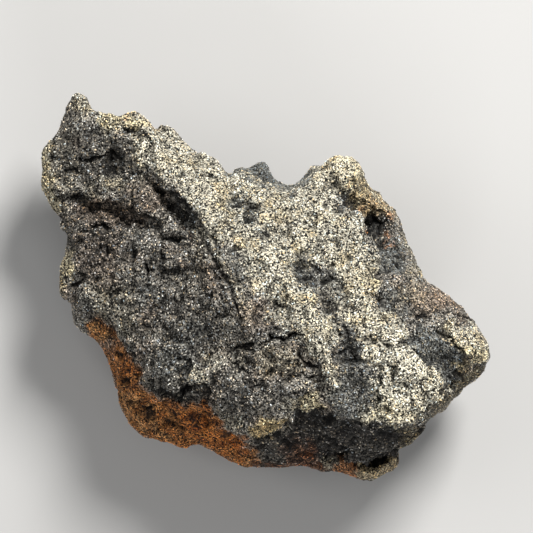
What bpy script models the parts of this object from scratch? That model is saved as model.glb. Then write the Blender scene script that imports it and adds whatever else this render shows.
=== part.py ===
"""A hand specimen of massive granular nickelskutterudite ore, one natural stone.

It lies on its back, with its broken face up. The frame is metres, +Z up, +X across the
broken face and +Y towards its top edge; the origin is on the resting plane, under the
middle of the stone's bounding box. The shape is drawn as a net of creases over the broken
face, on a traced outline, with a plainer net for the back; both meet at the outline.
"""

import bpy
import bmesh
import numpy as np
from mathutils import Vector
from mathutils.geometry import delaunay_2d_cdt

# Driving dimensions
UNIT = 0.0002  # metres for one step of the drawing's grid
MIDDLE = (265.25, 287.35)  # the grid point over the origin
MM = 0.001
COARSE_CELL = 0.8 * MM  # cell of the even mesh that the surface is worked on
TRIANGLES = 8600  # of the finished solid
RESTS_BELOW = 0.1 * MM  # what lies lower than this is part of the flats that it rests on
WAVE_RELIEF, CHIP, CHIP_RELIEF = 0.75, 5.2, 1.3  # mm: height of the waves, size and height of the chips
EDGE_ROUND = (2.0, 1.3)  # how far in, in grid steps, and how high, in mm, the outline rounds over
NODE = "nickelskutterudite"

# Outline of the stone seen square on to its broken face: across, down, height of
# the edge above the resting plane in mm.
OUTLINE = [
    (71, 97, 18), (72.5, 94, 18.5), (76, 92, 18.5), (80, 92.3, 18.5), (84, 94.5, 19), (88, 97.5, 19),
    (90, 102, 19), (92, 108, 19.5), (95, 111, 19.5), (100, 112, 20), (104, 114, 20), (106.5, 115, 20),
    (109, 113.5, 20.5), (114, 116, 20.5), (118.5, 116.5, 20.5), (123, 115, 21), (128, 113, 21),
    (134, 111.7, 21.5), (138, 113.3, 21.5), (142.5, 115, 21.5), (146, 118, 21.5), (150, 122.5, 21),
    (153, 126.5, 20), (155.5, 129.7, 19), (157.5, 127.5, 18.5), (159.5, 124.2, 19), (164, 123.8, 20),
    (169.5, 125.3, 20), (174, 129.3, 19.5), (179, 135.3, 19), (184, 141, 18.5), (189, 145.5, 18),
    (192, 149.5, 17), (195, 153.5, 16.5), (198, 153.2, 17.5), (202, 152.3, 18.5), (207, 154, 18.5),
    (213, 157.8, 18), (218, 161.3, 17.5), (222, 166.5, 16.5), (225, 170, 15), (227.5, 171.8, 13),
    (231, 170, 11), (235, 167, 10), (240, 166, 9.5), (246, 166.5, 9.5), (251, 164.8, 9), (256, 162, 9),
    (261, 160.2, 9), (266, 161.7, 9), (268.5, 166, 9.5), (271, 172, 10), (274, 178, 10.5),
    (278, 181.7, 11), (283, 183.7, 11), (289, 184.5, 12), (294, 183.3, 13), (298.5, 180, 14),
    (303, 176, 15), (307, 171, 16), (309.5, 166.5, 17), (313.5, 164.2, 17.5), (319, 165, 18),
    (323.3, 165.5, 18), (324, 162, 18.5), (328, 158, 19.5), (333, 155, 20), (338.5, 154, 20.5),
    (344, 155.7, 20.5), (350, 156.7, 20), (355, 159, 19.5), (358.7, 162.5, 19), (361, 168, 18.5),
    (364, 174, 17.5), (366.8, 181, 16), (370, 185.5, 15), (374.5, 189, 14), (379, 190.5, 13),
    (381.7, 195.5, 12), (383.5, 199.3, 12), (387, 202, 11.5), (391, 205.7, 11), (395, 207.5, 10.5),
    (397.7, 212.5, 10), (400.3, 219.5, 9.5), (403, 227, 9.5), (406, 235, 9.5), (409, 243.5, 10),
    (412, 251, 10), (415.5, 259, 11), (418, 264.5, 12), (421.5, 267.3, 12.5), (424.3, 270.5, 13),
    (424, 275, 13.5), (427.5, 279.5, 14), (433, 283.7, 15), (441, 290, 16), (446, 294.3, 16.5),
    (450.5, 299, 17), (457, 303.7, 17.5), (462, 308.5, 17.5), (467.5, 315, 18), (472.5, 319, 18),
    (477, 325, 18), (480.7, 331.5, 18.5), (484, 336.3, 18.5), (487.3, 342, 19), (489.3, 348, 19),
    (490, 354, 19), (488.3, 360, 18.5), (486.3, 366, 17.5), (484, 371, 17), (479, 377, 16.5),
    (473, 382.3, 16), (466.5, 386, 15.5), (462, 390.3, 15), (457.7, 396, 14.5), (452.5, 400.7, 14),
    (449.3, 405, 13.5), (447, 409.3, 13.5), (442.5, 412.7, 13), (437, 414, 13), (432, 418, 13),
    (428, 422, 12.5), (424, 427, 12), (421.3, 432.7, 12), (418, 437.5, 11.5), (412.5, 444, 11),
    (407, 447, 11), (402, 448, 11), (400, 453, 10.5), (397.5, 457, 10.5), (398.5, 461.5, 10.5),
    (396, 466.5, 10.5), (391.5, 471, 10), (386, 474.5, 10), (380, 478.8, 10), (375, 481.5, 10),
    (370.5, 482.7, 10), (365, 482, 10), (359.5, 480.3, 10), (355, 478.5, 9.5), (350, 475.8, 9.5),
    (343.5, 473.7, 9), (337, 472.6, 9), (330, 471.8, 9), (324, 472.5, 9), (319, 471, 9),
    (313, 468.7, 9), (307, 466.5, 9), (300, 465.7, 9), (293, 466.2, 9), (287, 467.6, 9),
    (278, 468.2, 9), (268, 468, 9), (258, 468, 9), (251, 468, 9), (246, 469, 9), (241.5, 468, 9),
    (237, 465, 9), (231, 463, 9), (225, 460.3, 9), (219, 456.5, 9), (213, 452.7, 9), (207, 449, 9),
    (202, 446.7, 9), (197, 445, 9), (192, 445.7, 9), (187, 447.2, 9), (182, 448.2, 9),
    (177.5, 447.3, 9), (173, 445, 8.5), (168.5, 442.7, 8.5), (164.5, 442.5, 8.5), (161, 443, 8.5),
    (157.5, 440.5, 8.5), (152, 438.7, 8), (146, 438.3, 8), (140.5, 436, 8), (136, 432.5, 8),
    (133, 429.5, 8), (129.5, 426, 8), (126, 421.5, 8), (123.5, 417, 8), (120.5, 412.5, 8),
    (118.3, 407.5, 8.5), (117.7, 401, 8.5), (118, 395.5, 8.5), (117.5, 390.5, 9), (114.5, 387, 9),
    (113.3, 382, 9), (112.7, 377, 9.5), (111.3, 371, 10), (109.7, 364.5, 10.5), (107, 358.5, 11),
    (103, 353.5, 11.5), (99.5, 348.5, 12), (96.5, 343.7, 12.5), (92.7, 339, 13), (88.5, 335, 13.5),
    (84, 332.3, 14), (80, 330, 14.5), (77, 326, 15), (73.8, 321.5, 15.5), (71.5, 315.5, 16),
    (70, 309.5, 16.5), (70, 303.5, 16.5), (67.5, 300.3, 16.5), (64, 298.7, 16.5), (60.5, 296.3, 17),
    (58.7, 291, 17), (58.3, 285, 17), (59.3, 279, 17), (58.5, 273, 17), (59.5, 267, 17),
    (61.5, 260.5, 17), (63.5, 254.5, 17), (65, 248.5, 16.5), (66.3, 242, 16.5), (66, 237, 16),
    (63.5, 232.5, 16), (60.5, 229.5, 16), (58.7, 225.5, 16), (59.7, 220.5, 16), (58.7, 217, 16),
    (55, 213.3, 16), (51.7, 209, 16.5), (49.7, 204.5, 16.5), (48, 199, 17), (45.3, 194, 17),
    (42.5, 189, 17), (40.7, 184, 17.5), (40.7, 178.5, 17.5), (41.7, 173, 17.5), (41.2, 167.5, 18),
    (40.5, 161, 18), (40.7, 154, 18), (42.3, 148, 18), (45.3, 143.7, 18), (48.3, 139.7, 18),
    (51.5, 138, 18.5), (55, 133.7, 18.5), (58.3, 128.5, 18.5), (61, 122, 18.5), (63.5, 115.5, 18.5),
    (66, 108.5, 18), (68.7, 102, 18),
]

# Creases of the broken face: ridges, ledges, grooves and their feet.
FACE_LINES = {
    "main_ridge": [(128, 128, 24), (133, 137, 25.5), (133, 150, 26.5), (143, 160, 27.5), (158, 172, 29), (170, 186, 30.5),
                   (184, 200, 31.5), (197, 217, 33), (208, 236, 34.5), (216, 250, 35.3), (226, 272, 36), (238, 297, 36.8),
                   (252, 325, 37.4), (262, 333, 37.8)],
    "groove_beside_ridge": [(150, 180, 26), (160, 190, 25.2), (170, 203, 25.4), (183, 217, 27.4), (195, 232, 30.2),
                            (203, 246, 33.0), (214, 268, 34.5), (226, 292, 35.6), (238, 315, 36.5)],
    "left_ledge_top": [(92, 188, 21.8), (104, 180, 23.6), (120, 174, 25), (136, 178, 26.2), (148, 190, 27.2), (160, 205, 27.8),
                       (168, 216, 27.6)],
    "left_ledge_lip": [(91, 198, 21), (105, 197, 23.4), (125, 202, 25.4), (143, 208, 26.8), (156, 217, 27.2)],
    "recess_under_ledge": [(88, 206, 19.2), (100, 207, 19.9), (122, 214, 21.2), (142, 222, 22.8), (156, 229, 24.8)],
    "upper_hollow": [(92, 161, 21.1), (104, 156, 21.5), (114, 160, 22.3), (113, 168, 22.4), (102, 171, 22)],
    "upper_hollow_lip": [(80, 160, 21.6), (90, 153, 22.6), (104, 148.5, 23), (118, 151, 24), (128, 163, 25.2)],
    "notch_lip": [(60, 190, 20.6), (72, 187, 21.2), (84, 190, 21.4)],
    "notch_foot": [(61, 196, 18.8), (72, 195.5, 18.8), (82, 198.5, 18.8)],
    "step_lip": [(90, 221, 21.6), (101, 220, 22.2), (113, 223, 23.2)],
    "step_foot": [(91, 227.5, 20.2), (103, 227, 20.8), (114, 230, 22.2)],
    "rust_edge": [(89, 323, 18.4), (100, 318, 19.8), (110, 328, 20.4), (118, 343, 21), (128, 357, 22), (137, 369, 23),
                  (145, 383, 23.4), (152, 394, 22.6), (163, 402, 22.6), (176, 405, 23.2), (190, 403, 24.4), (204, 406, 25.6),
                  (213, 417, 25.8), (224, 429, 25.6), (236, 439, 25), (247, 444, 22.6), (255, 456, 17.6)],
    "rust_middle": [(97, 331, 16.4), (108, 348, 17), (118, 368, 17), (125, 385, 16.8), (131, 399, 16.6), (146, 413, 16.6),
                    (163, 421, 16.6), (184, 426, 16.4), (203, 431, 16.4), (221, 443, 16), (239, 455, 15)],
    "recess_over_rust": [(153, 386, 25.2), (161, 393, 23.2), (173, 396, 23), (185, 394, 23.8), (197, 397, 24.8), (207, 398, 26)],
    "lumps_over_recess": [(150, 374, 27.4), (158, 370, 29.4), (168, 372, 30.6), (172, 383, 29), (180, 378, 28.4), (190, 374, 31.6),
                          (201, 380, 31), (211, 388, 30)],
    "crease_a": [(248, 438, 27.2), (262, 438, 27.8), (275, 435, 28.4), (290, 429, 29.8)],
    "brass_nose": [(249, 431, 29.8), (257, 424, 31.8), (266, 419, 32.6), (278, 418, 33.2), (290, 420.5, 33.2)],
    "crease_b": [(299, 411, 33.6), (315, 411.5, 34.4), (330, 412, 35.2), (342, 415, 36), (355, 419.5, 36.8), (368, 421.5, 37.2),
                 (382, 421.5, 37.2), (395, 424.5, 36.8), (408, 423, 36.2), (418, 418, 34.4), (428, 411, 31.4)],
    "under_a": [(258, 448, 20.6), (285, 445, 22.8), (305, 440, 24.6), (322, 440, 25.4), (340, 437, 27), (355, 436, 28.4),
                (375, 435, 29), (395, 436, 27.2), (408, 434, 22.6)],
    "plate_lip": [(268, 458, 14.2), (295, 456, 15.2), (312, 451, 17.4), (325, 447, 20.4), (338, 447, 22.8), (346, 455, 22.4),
                  (360, 459, 21.4), (378, 457, 21), (391, 450, 19.4), (403, 441, 17.4)],
    "recess_under_plate": [(316, 456, 14.4), (331, 455, 14), (343, 461, 14), (357, 465, 14.4), (372, 464, 14.6), (385, 459, 14.4),
                           (395, 452.5, 13.8)],
    "toe": [(349, 469, 13.4), (360, 472, 15.8), (372, 471, 17), (384, 465.5, 16), (392, 460, 14.8)],
    "bright_rib": [(285, 290, 36.6), (300, 305, 37.8), (314, 325, 39), (322, 345, 39.8), (328, 365, 39.8), (336, 385, 39.2),
                   (345, 402, 38.4), (352, 412, 37.8)],
    "bright_rib_foot": [(268, 303, 36.2), (283, 319, 36.8), (297, 337, 37.2), (304, 352, 38), (311, 370, 37.6), (320, 391, 36.6),
                        (331, 404, 36.2)],
    "valley": [(322, 300, 35.8), (334, 320, 36.4), (341, 345, 37.2), (346, 365, 37.6), (353, 385, 37.4), (362, 402, 37.2)],
    "outer_rib": [(352, 262, 33.4), (358, 285, 35.2), (366, 305, 36.8), (380, 325, 38.4), (395, 343, 39.4), (408, 360, 40),
                  (422, 378, 39.6), (433, 390, 38.2), (428, 401, 37.6), (416, 412, 37)],
    "tip_rib": [(447, 326, 29.6), (455, 335, 31.6), (464, 347, 32.2), (470, 356, 31.2), (467, 364, 28.6)],
    "face_edge": [(333, 199.5, 28), (345, 206.5, 29.2), (356, 213.5, 30.2), (362, 221, 30.8), (362, 231, 30.8), (368, 242, 31.2),
                  (374, 254, 31.4), (379, 266, 31.8)],
    "face_edge_foot": [(339, 195, 25), (349, 201, 24.4), (360, 207, 23), (368.5, 215, 21), (370, 226, 19.4), (375, 238, 20.4),
                       (383, 250, 22.6), (389, 262, 25.6)],
    "crest_edge": [(232, 177.5, 21.6), (240, 174.5, 22), (248, 177, 22.4), (255, 181.5, 23.2), (265, 185.5, 23.8), (275, 189.5, 24.2),
                   (286, 192, 24.6), (296, 189.5, 24.6), (304, 182, 23)],
    "crest_edge_foot": [(234, 172, 13.6), (243, 170, 13.2), (251, 173.5, 13.2), (259, 177.5, 13.4), (268, 181.5, 13.6), (278, 185.6, 13.8),
                        (288, 187.8, 14.4), (295, 186, 15.6)],
}

# Single heights between the creases.
FACE_POINTS = [
    (76, 100, 21), (79, 112, 22.2), (74, 125, 22.6), (90, 121, 23), (95, 135, 23.4), (110, 126, 23.6), (112, 138, 24.2),
    (70, 143, 22), (56, 150, 20.6), (51, 165, 20), (52, 182, 20.2), (66, 168, 20.4), (76, 176, 20.8), (90, 176, 20.8),
    (57, 204, 18.8), (70, 213, 19), (82, 212, 19.6), (72, 232, 19.8), (80, 244, 21.2), (100, 240, 22.8), (112, 208, 21),
    (71, 262, 20.6), (68, 284, 20.2), (83, 280, 21.8), (96, 258, 22.8), (103, 286, 23.6), (122, 244, 24.8),
    (126, 270, 25.4), (150, 246, 27.8), (141, 262, 26.8), (149, 269, 26.6), (157, 276, 27.6), (170, 243, 28.6), (180, 262, 30.4),
    (136, 300, 26.2), (165, 300, 28.8), (190, 288, 31.2), (206, 312, 32.8), (82, 305, 20.4), (98, 306, 22), (114, 316, 22.8),
    (124, 330, 23.8), (134, 345, 25), (146, 358, 26.8), (160, 358, 28.8), (150, 326, 26.8), (168, 332, 28), (182, 342, 29.6),
    (200, 332, 31.4), (190, 357, 30.8), (206, 355, 32.6), (218, 368, 32.8), (224, 342, 33.8), (240, 355, 34.8), (236, 376, 34.2),
    (222, 392, 31.8), (247, 395, 33.8), (216, 403, 29.4), (228, 413, 30), (237, 425, 29.6), (256, 409, 32.6),
    (276, 349, 37.6), (290, 357, 38.2), (268, 368, 36.6), (262, 386, 35.4), (286, 381, 37.2), (301, 376, 37.8), (280, 401, 35.4),
    (270, 410, 34), (301, 399, 36.4), (310, 393, 37.4), (317, 399, 36.8),
    (326, 466, 13.6), (293, 462, 12.2), (375, 350, 38.9), (368, 375, 38.7), (386, 396, 38.6), (376, 410, 38),
    (382, 284, 33.6), (392, 302, 34.6), (400, 280, 30.6), (412, 290, 30.2), (425, 300, 29.4), (441, 303, 25), (455, 312, 22.6),
    (406, 321, 35.2), (420, 317, 33.2), (435, 317, 31.2), (452, 320, 28), (466, 323, 24.4), (425, 336, 33.8), (441, 341, 31.6),
    (432, 356, 32.6), (446, 366, 30.2), (453, 378, 27.4), (445, 386, 31), (479, 345, 27.6), (481, 357, 25.4), (470, 371, 22),
    (460, 382, 22.4), (450, 393, 24), (440, 403, 26),
    (352, 190, 24.2), (364, 197, 22.6), (375, 205, 21.6), (386, 210, 19.8), (391, 221, 18.2), (384, 231, 18), (396, 241, 17.4),
    (401, 255, 18.6), (406, 266, 21), (413, 273, 22), (333, 164, 23.4), (345, 164, 24.4), (354, 172, 23.6), (341, 180, 25.4),
    (356, 183, 22.4), (322, 175, 22.8), (315, 172, 21.6), (262, 168, 12.4), (247, 169, 12), (268, 176, 13),
    (216, 172, 24), (206, 165, 22.6), (196, 165, 23.2), (188, 155, 22.6), (178, 147, 23.2), (167, 132, 22.8), (159, 140, 24.2),
    (150, 131, 23.8), (147, 146, 26.2), (163, 160, 27.6), (180, 175, 28.8), (198, 192, 30.4), (213, 210, 31.8), (222, 232, 33.4),
    (235, 250, 35), (247, 275, 36.2), (262, 297, 36.8), (231, 190, 27.6), (250, 192, 26.8), (272, 200, 27.2), (295, 205, 28.2),
    (315, 198, 27.8), (312, 185, 25.4), (238, 208, 27.4), (247, 213, 28.2), (226, 204, 30.2), (238, 224, 32), (259, 216, 30.8),
    (281, 226, 30.8), (305, 226, 30.6), (330, 221, 30.4), (345, 233, 31.2), (325, 245, 32), (295, 250, 33.2), (263, 252, 34.2),
    (345, 250, 32.4), (296, 268, 32.4), (308, 277, 32.8), (322, 284, 34), (334, 268, 33.8), (278, 272, 35),
]

# The back, seen through the stone: heights of the side it rests on.
BACK_POINTS = [
    (135, 235, 0), (175, 208, 0), (235, 218, 0), (300, 228, 0), (350, 240, 0), (385, 278, 0), (408, 325, 0),
    (398, 370, 0), (368, 398, 0), (320, 416, 0), (255, 420, 0), (203, 405, 0), (165, 380, 0), (146, 340, 0),
    (128, 290, 0), (230, 300, 1.4), (300, 335, 1.8), (262, 372, 0), (330, 290, 0), (200, 340, 0), (185, 270, 0),
    (270, 260, 0), (350, 350, 0), (300, 385, 0.9),
    (90, 150, 9), (108, 195, 5), (88, 262, 7.5), (108, 335, 5.5), (150, 158, 9), (200, 182, 6), (262, 192, 3.6),
    (310, 198, 6), (350, 190, 10), (388, 235, 3.6), (430, 305, 7.5), (462, 348, 9.5), (440, 388, 6.5), (404, 425, 5),
    (350, 450, 4), (280, 448, 3.6), (203, 432, 3.4), (142, 412, 3.2), (72, 118, 14), (122, 128, 15), (120, 372, 4.2),
]

# Ledges: how far the surface drops beside the line, in mm, how wide in grid steps the drop
# fades out again, and the line. The side that drops is on the right hand of someone who
# walks along the line.
LEDGES = [
    (0.6, 10, [(76, 159), (90, 158), (98, 154), (108, 152), (116, 156), (122, 161)]),
    (0.8, 10, [(142, 178), (128, 174), (118, 173), (106, 176), (97, 181)]),
    (0.8, 13, [(58, 199), (70, 195), (80, 193), (90, 198), (104, 200), (120, 203), (134, 208), (146, 214), (162, 219)]),
    (0.6, 10, [(158, 182), (170, 188), (182, 200), (196, 208), (206, 220), (216, 232), (219, 243)]),
    (0.5, 6, [(205, 241), (214, 253), (222, 268), (232, 290), (240, 310), (247, 332)]),
    (0.8, 7, [(230, 347), (245, 345), (257, 347), (262, 340), (272, 335), (283, 336), (292, 332), (304, 334)]),
    (1.0, 14, [(144, 372), (152, 378), (160, 376), (166, 388), (176, 391), (184, 384), (192, 383), (206, 381), (212, 390), (218, 402)]),
    (0.8, 9, [(299, 336), (310, 354), (320, 362), (322, 374), (335, 392)]),
    (0.7, 9, [(339, 390), (336, 372), (330, 358), (336, 344), (340, 330), (338, 316)]),
    (2.0, 20, [(381, 268), (378, 258), (372, 246), (366, 236), (363, 222), (360, 214), (350, 206), (335, 198)]),
    (1.1, 14, [(336, 350), (350, 357), (360, 357), (372, 360), (380, 364), (381, 378), (378, 392), (380, 402), (366, 410), (354, 419)]),
    (0.9, 10, [(442, 324), (450, 334), (458, 346), (466, 356), (473, 363)]),
    (1.0, 12, [(446, 382), (434, 370), (422, 360), (412, 350), (401, 335)]),
    (0.7, 7, [(416, 314), (432, 312), (444, 313), (456, 316), (470, 321)]),
    (0.9, 9, [(314, 449), (330, 458), (345, 455), (352, 461), (370, 461), (385, 457), (400, 448)]),
    (0.8, 9, [(281, 380), (296, 376), (303, 366), (300, 356), (289, 345)]),
    (0.8, 8, [(298, 406), (312, 409), (323, 401)]),
    (0.9, 10, [(247, 441), (262, 438), (275, 433), (294, 427)]),
    (0.7, 8, [(91, 229), (103, 224), (114, 227)]),
    (0.5, 7, [(60, 173), (70, 169), (81, 172)]),
    (0.6, 10, [(161, 239), (172, 236), (185, 240)]),
    (0.6, 9, [(127, 321), (142, 325), (157, 319)]),
    (0.6, 8, [(228, 204), (240, 201), (252, 203), (262, 208)]),
    (0.6, 9, [(296, 262), (310, 262), (326, 270), (342, 279)]),
]


def hashed(cell, seed):
    """Three even numbers in 0..1 for each whole-number cell."""
    c = cell.astype(np.int64).astype(np.uint32)
    h = c[..., 0] * np.uint32(374761393) + c[..., 1] * np.uint32(668265263) + c[..., 2] * np.uint32(1440662683)
    h = h + np.uint32((seed * 97 + 11) * 1274126177 & 0xFFFFFFFF)
    h = (h ^ (h >> np.uint32(15))) * np.uint32(2246822519)
    h = (h ^ (h >> np.uint32(13))) * np.uint32(3266489917)
    h = h ^ (h >> np.uint32(16))
    parts = [(h >> np.uint32(k)) & np.uint32(1023) for k in (0, 10, 20)]
    return np.stack(parts, -1).astype(np.float32) / np.float32(1023)


def waves(p, size, seed=0):
    """Smooth random waves of about this size, from -1 to 1."""
    q = p / size
    base = np.floor(q)
    f = (q - base).astype(np.float32)
    s = f * f * f * (f * (f * 6 - 15) + 10)
    away = (f, f - 1)
    share = (1 - s, s)
    total = np.zeros(len(q), np.float32)
    for dx in (0, 1):
        for dy in (0, 1):
            for dz in (0, 1):
                g = hashed(base + np.array((dx, dy, dz), float), seed) * 2 - 1
                w = share[dx][:, 0] * share[dy][:, 1] * share[dz][:, 2]
                total += w * (away[dx][:, 0] * g[:, 0] + away[dy][:, 1] * g[:, 1] + away[dz][:, 2] * g[:, 2])
    return np.clip(total * 1.6, -1, 1).astype(float)


def layered(p, size, layers, fall=0.5, seed=0):
    """Waves on waves, each half the size of the last."""
    return sum(fall**k * waves(p, size / 2**k, seed + k) for k in range(layers))


def chips(p, size, seed=0):
    """Broken facets: the height of a tilted plane in each irregular cell, how far in the
    cell's edge is, and a number for the cell."""
    q = p / size
    base = np.floor(q)
    near = np.full(len(p), 9.0)
    second = np.full(len(p), 9.0)
    at = np.zeros_like(q)
    cell = np.zeros_like(q)
    for dx in (-1, 0, 1):
        for dy in (-1, 0, 1):
            for dz in (-1, 0, 1):
                c = base + np.array((dx, dy, dz), float)
                spot = c + 0.15 + 0.7 * hashed(c, seed)
                d = np.linalg.norm(q - spot, axis=-1)
                closer = d < near
                second = np.where(closer, near, np.minimum(second, d))
                at[closer], cell[closer] = spot[closer], c[closer]
                near = np.where(closer, d, near)
    lean = hashed(cell, seed + 50) * 2 - 1
    return ((q - at) * lean).sum(-1), second - near, hashed(cell, seed + 90)


def inside(points, loop):
    """Whether each point is in the closed loop."""
    x, y = points[:, 0], points[:, 1]
    found = np.zeros(len(points), bool)
    for (x0, y0), (x1, y1) in zip(loop, np.roll(loop, -1, 0)):
        if y0 == y1:
            continue
        over = (y0 > y) != (y1 > y)
        found ^= over & (x < (x1 - x0) * (y - y0) / (y1 - y0) + x0)
    return found


def to_line(points, line, closed=False, reach=None):
    """Distance from each point to a line of points, in the grid; beyond reach it may be more."""
    line = np.asarray(line, float)[:, :2]
    if closed:
        line = np.vstack([line, line[:1]])
    best = np.full(len(points), 1e9)
    if len(line) == 1:
        return np.linalg.norm(points - line[0], axis=1)
    for a, b in zip(line, line[1:]):
        near = slice(None)
        if reach is not None:
            low, high = np.minimum(a, b) - reach, np.maximum(a, b) + reach
            near = np.flatnonzero(
                (points[:, 0] > low[0]) & (points[:, 0] < high[0]) & (points[:, 1] > low[1]) & (points[:, 1] < high[1])
            )
        q = points[near]
        d = b - a
        t = np.clip(((q - a) @ d) / max(d @ d, 1e-9), 0, 1)
        best[near] = np.minimum(best[near], np.hypot(q[:, 0] - a[0] - t * d[0], q[:, 1] - a[1] - t * d[1]))
    return best


def inset(loop, step):
    """The closed loop moved in by step; it turns the way the outline is listed."""
    before, after = np.roll(loop, 1, 0), np.roll(loop, -1, 0)
    run = after - before
    run /= np.linalg.norm(run, axis=1)[:, None]
    inward = np.stack([-run[:, 1], run[:, 0]], 1)
    return loop + inward * step


def side(rim, ring, lines, spots, loop, down):
    """One side of the stone as triangles, from the rim inwards. Points are across, down, mm."""
    points = [tuple(r) for r in rim] + [tuple(r) for r in ring]
    n, m = len(rim), len(ring)
    edges = [(i, (i + 1) % n) for i in range(n)]
    for line in lines:
        start = len(points)
        points += [tuple(p) for p in line]
        edges += [(start + i, start + i + 1) for i in range(len(line) - 1)]
    points += [tuple(p) for p in spots]
    flat = [Vector(p[:2]) for p in points]
    found, _, faces, origin, _, _ = delaunay_2d_cdt(flat, edges, [], 0, 1e-5)
    heights = []
    for place, came in zip(found, origin):
        if came:
            heights.append(points[came[0]][2])
        else:  # where two creases cross
            d = [(Vector(p[:2]) - place).length for p in points]
            k = int(np.argmin(d))
            heights.append(points[k][2])
    xy = np.array([tuple(p) for p in found])
    middles = np.array([xy[list(f)].mean(0) for f in faces])
    keep = inside(middles, loop)
    rim_index = {}
    for k, came in enumerate(origin):
        for o in came:
            if o < n:
                rim_index[k] = o
    return xy, heights, [list(f) for f, k in zip(faces, keep) if k], rim_index


def net_mesh():
    """The closed net of the whole stone: corners in metres, and faces turned outwards."""
    rim = np.array(OUTLINE, float)
    loop = rim[:, :2]
    step, rise = EDGE_ROUND
    ring_at = inset(loop, step)
    clear = (to_line(ring_at, loop, True) > 0.75 * step) & inside(ring_at, loop)
    upper = [(x, y, z + rise) for (x, y), z, ok in zip(ring_at, rim[:, 2], clear) if ok]
    lower = [(x, y, z - rise) for (x, y), z, ok in zip(ring_at, rim[:, 2], clear) if ok]
    corners = [tuple(r) for r in rim]
    faces = []
    for ring, lines, spots, up in (
        (upper, list(FACE_LINES.values()), FACE_POINTS, True),
        (lower, [], BACK_POINTS, False),
    ):
        xy, heights, found, rim_index = side(rim, ring, lines, spots, loop, not up)
        number = {}
        for k, (place, height) in enumerate(zip(xy, heights)):
            if k in rim_index:
                number[k] = rim_index[k]
            else:
                number[k] = len(corners)
                corners.append((place[0], place[1], height))
        for f in found:
            a, b, c = (number[i] for i in f)
            (x0, y0), (x1, y1), (x2, y2) = (corners[i][:2] for i in (a, b, c))
            turn = (x1 - x0) * (y2 - y0) - (x2 - x0) * (y1 - y0)
            # the grid runs down the page, so a turn that is positive here faces down
            faces.append((a, b, c) if (turn < 0) == up else (a, c, b))
    c = np.array(corners, float)
    place = np.stack(
        [(c[:, 0] - MIDDLE[0]) * UNIT, (MIDDLE[1] - c[:, 1]) * UNIT, c[:, 2] * MM], 1
    )
    return place, faces


def mesh_object(name, points, faces):
    mesh = bpy.data.meshes.new(name)
    mesh.from_pydata([tuple(map(float, p)) for p in points], [], [tuple(map(int, f)) for f in faces])
    mesh.update()
    obj = bpy.data.objects.new(name, mesh)
    bpy.context.scene.collection.objects.link(obj)
    return obj


def even_mesh(points, faces, cell):
    """The net's surface as an even mesh of square cells: points and faces."""
    obj = mesh_object("net", points, faces)
    even = obj.modifiers.new("even", "REMESH")
    even.mode = "VOXEL"
    even.voxel_size = cell
    even.adaptivity = 0.0
    graph = bpy.context.evaluated_depsgraph_get()
    mesh = bpy.data.meshes.new_from_object(obj.evaluated_get(graph))
    p = np.empty(len(mesh.vertices) * 3, np.float32)
    mesh.vertices.foreach_get("co", p)
    found = np.empty(len(mesh.loops), np.int32)
    mesh.loops.foreach_get("vertex_index", found)
    corners = [len(f.vertices) for f in mesh.polygons]
    bpy.data.objects.remove(obj)
    bpy.data.meshes.remove(mesh)
    if set(corners) != {4}:
        raise ValueError("the even mesh has faces that are not square")
    return p.reshape(-1, 3).astype(np.float64), found.reshape(-1, 4)


def normals_of(points, quads):
    a, b, c, d = (points[quads[:, k]] for k in range(4))
    face = np.cross(c - a, d - b)
    total = np.zeros_like(points)
    for k in range(4):
        np.add.at(total, quads[:, k], face)
    return total / np.maximum(np.linalg.norm(total, axis=1), 1e-20)[:, None]


def neighbours(faces, count):
    """For each point, the points beside it, filled up with itself, and how many there are."""
    ends = np.concatenate([np.stack([faces[:, k], np.roll(faces, -1, 1)[:, k]], 1) for k in range(faces.shape[1])])
    ends = np.unique(np.concatenate([ends, ends[:, ::-1]]), axis=0)
    number = np.bincount(ends[:, 0], minlength=count)
    start = np.concatenate([[0], np.cumsum(number)[:-1]])
    table = np.tile(np.arange(count)[:, None], (1, number.max()))
    table[ends[:, 0], np.arange(len(ends)) - start[ends[:, 0]]] = ends[:, 1]
    return table, number


def smoothed(values, beside, rounds, share=0.5):
    """Values on the points, each moved towards the mean of its neighbours."""
    table, number = beside
    spare = table.shape[1] - number
    v = values.astype(float)
    if v.ndim > 1:
        return np.stack([smoothed(v[:, k], beside, rounds, share) for k in range(v.shape[1])], 1)
    columns = [np.ascontiguousarray(table[:, k]) for k in range(table.shape[1])]
    for _ in range(rounds):
        total = -spare * v
        for column in columns:
            total = total + v[column]
        v = v + share * (total / number - v)
    return v


def grid_of(points):
    """Grid place of points of the stone, across and down."""
    return np.stack([points[:, 0] / UNIT + MIDDLE[0], MIDDLE[1] - points[:, 1] / UNIT], 1)


def ledges(place):
    """How far the surface drops beside the ledges, in mm, at each grid place."""
    drop = np.zeros(len(place))
    for deep, reach, line in LEDGES:
        line = np.array(line, float)
        near = ((place > line.min(0) - reach) & (place < line.max(0) + reach)).all(1)
        q = place[near]
        best, turn, run = np.full(len(q), 1e9), np.zeros(len(q)), np.zeros(len(q))
        length = 0.0
        for a, b in zip(line, line[1:]):
            d = b - a
            t = np.clip(((q - a) @ d) / (d @ d), 0, 1)
            away = np.linalg.norm(q - (a + t[:, None] * d), axis=1)
            closer = away < best
            best = np.where(closer, away, best)
            turn = np.where(closer, d[0] * (q - a)[:, 1] - d[1] * (q - a)[:, 0], turn)
            run = np.where(closer, length + t * np.linalg.norm(d), run)
            length += np.linalg.norm(d)
        ends = np.clip(np.minimum(run, length - run) / (0.2 * length), 0, 1)
        fall = np.clip(1 - best / reach, 0, 1) ** 1.5 * np.clip(best / 1.5, 0, 1)
        drop[near] = np.maximum(drop[near], deep * ends * fall * (turn > 0))
    return drop


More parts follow.
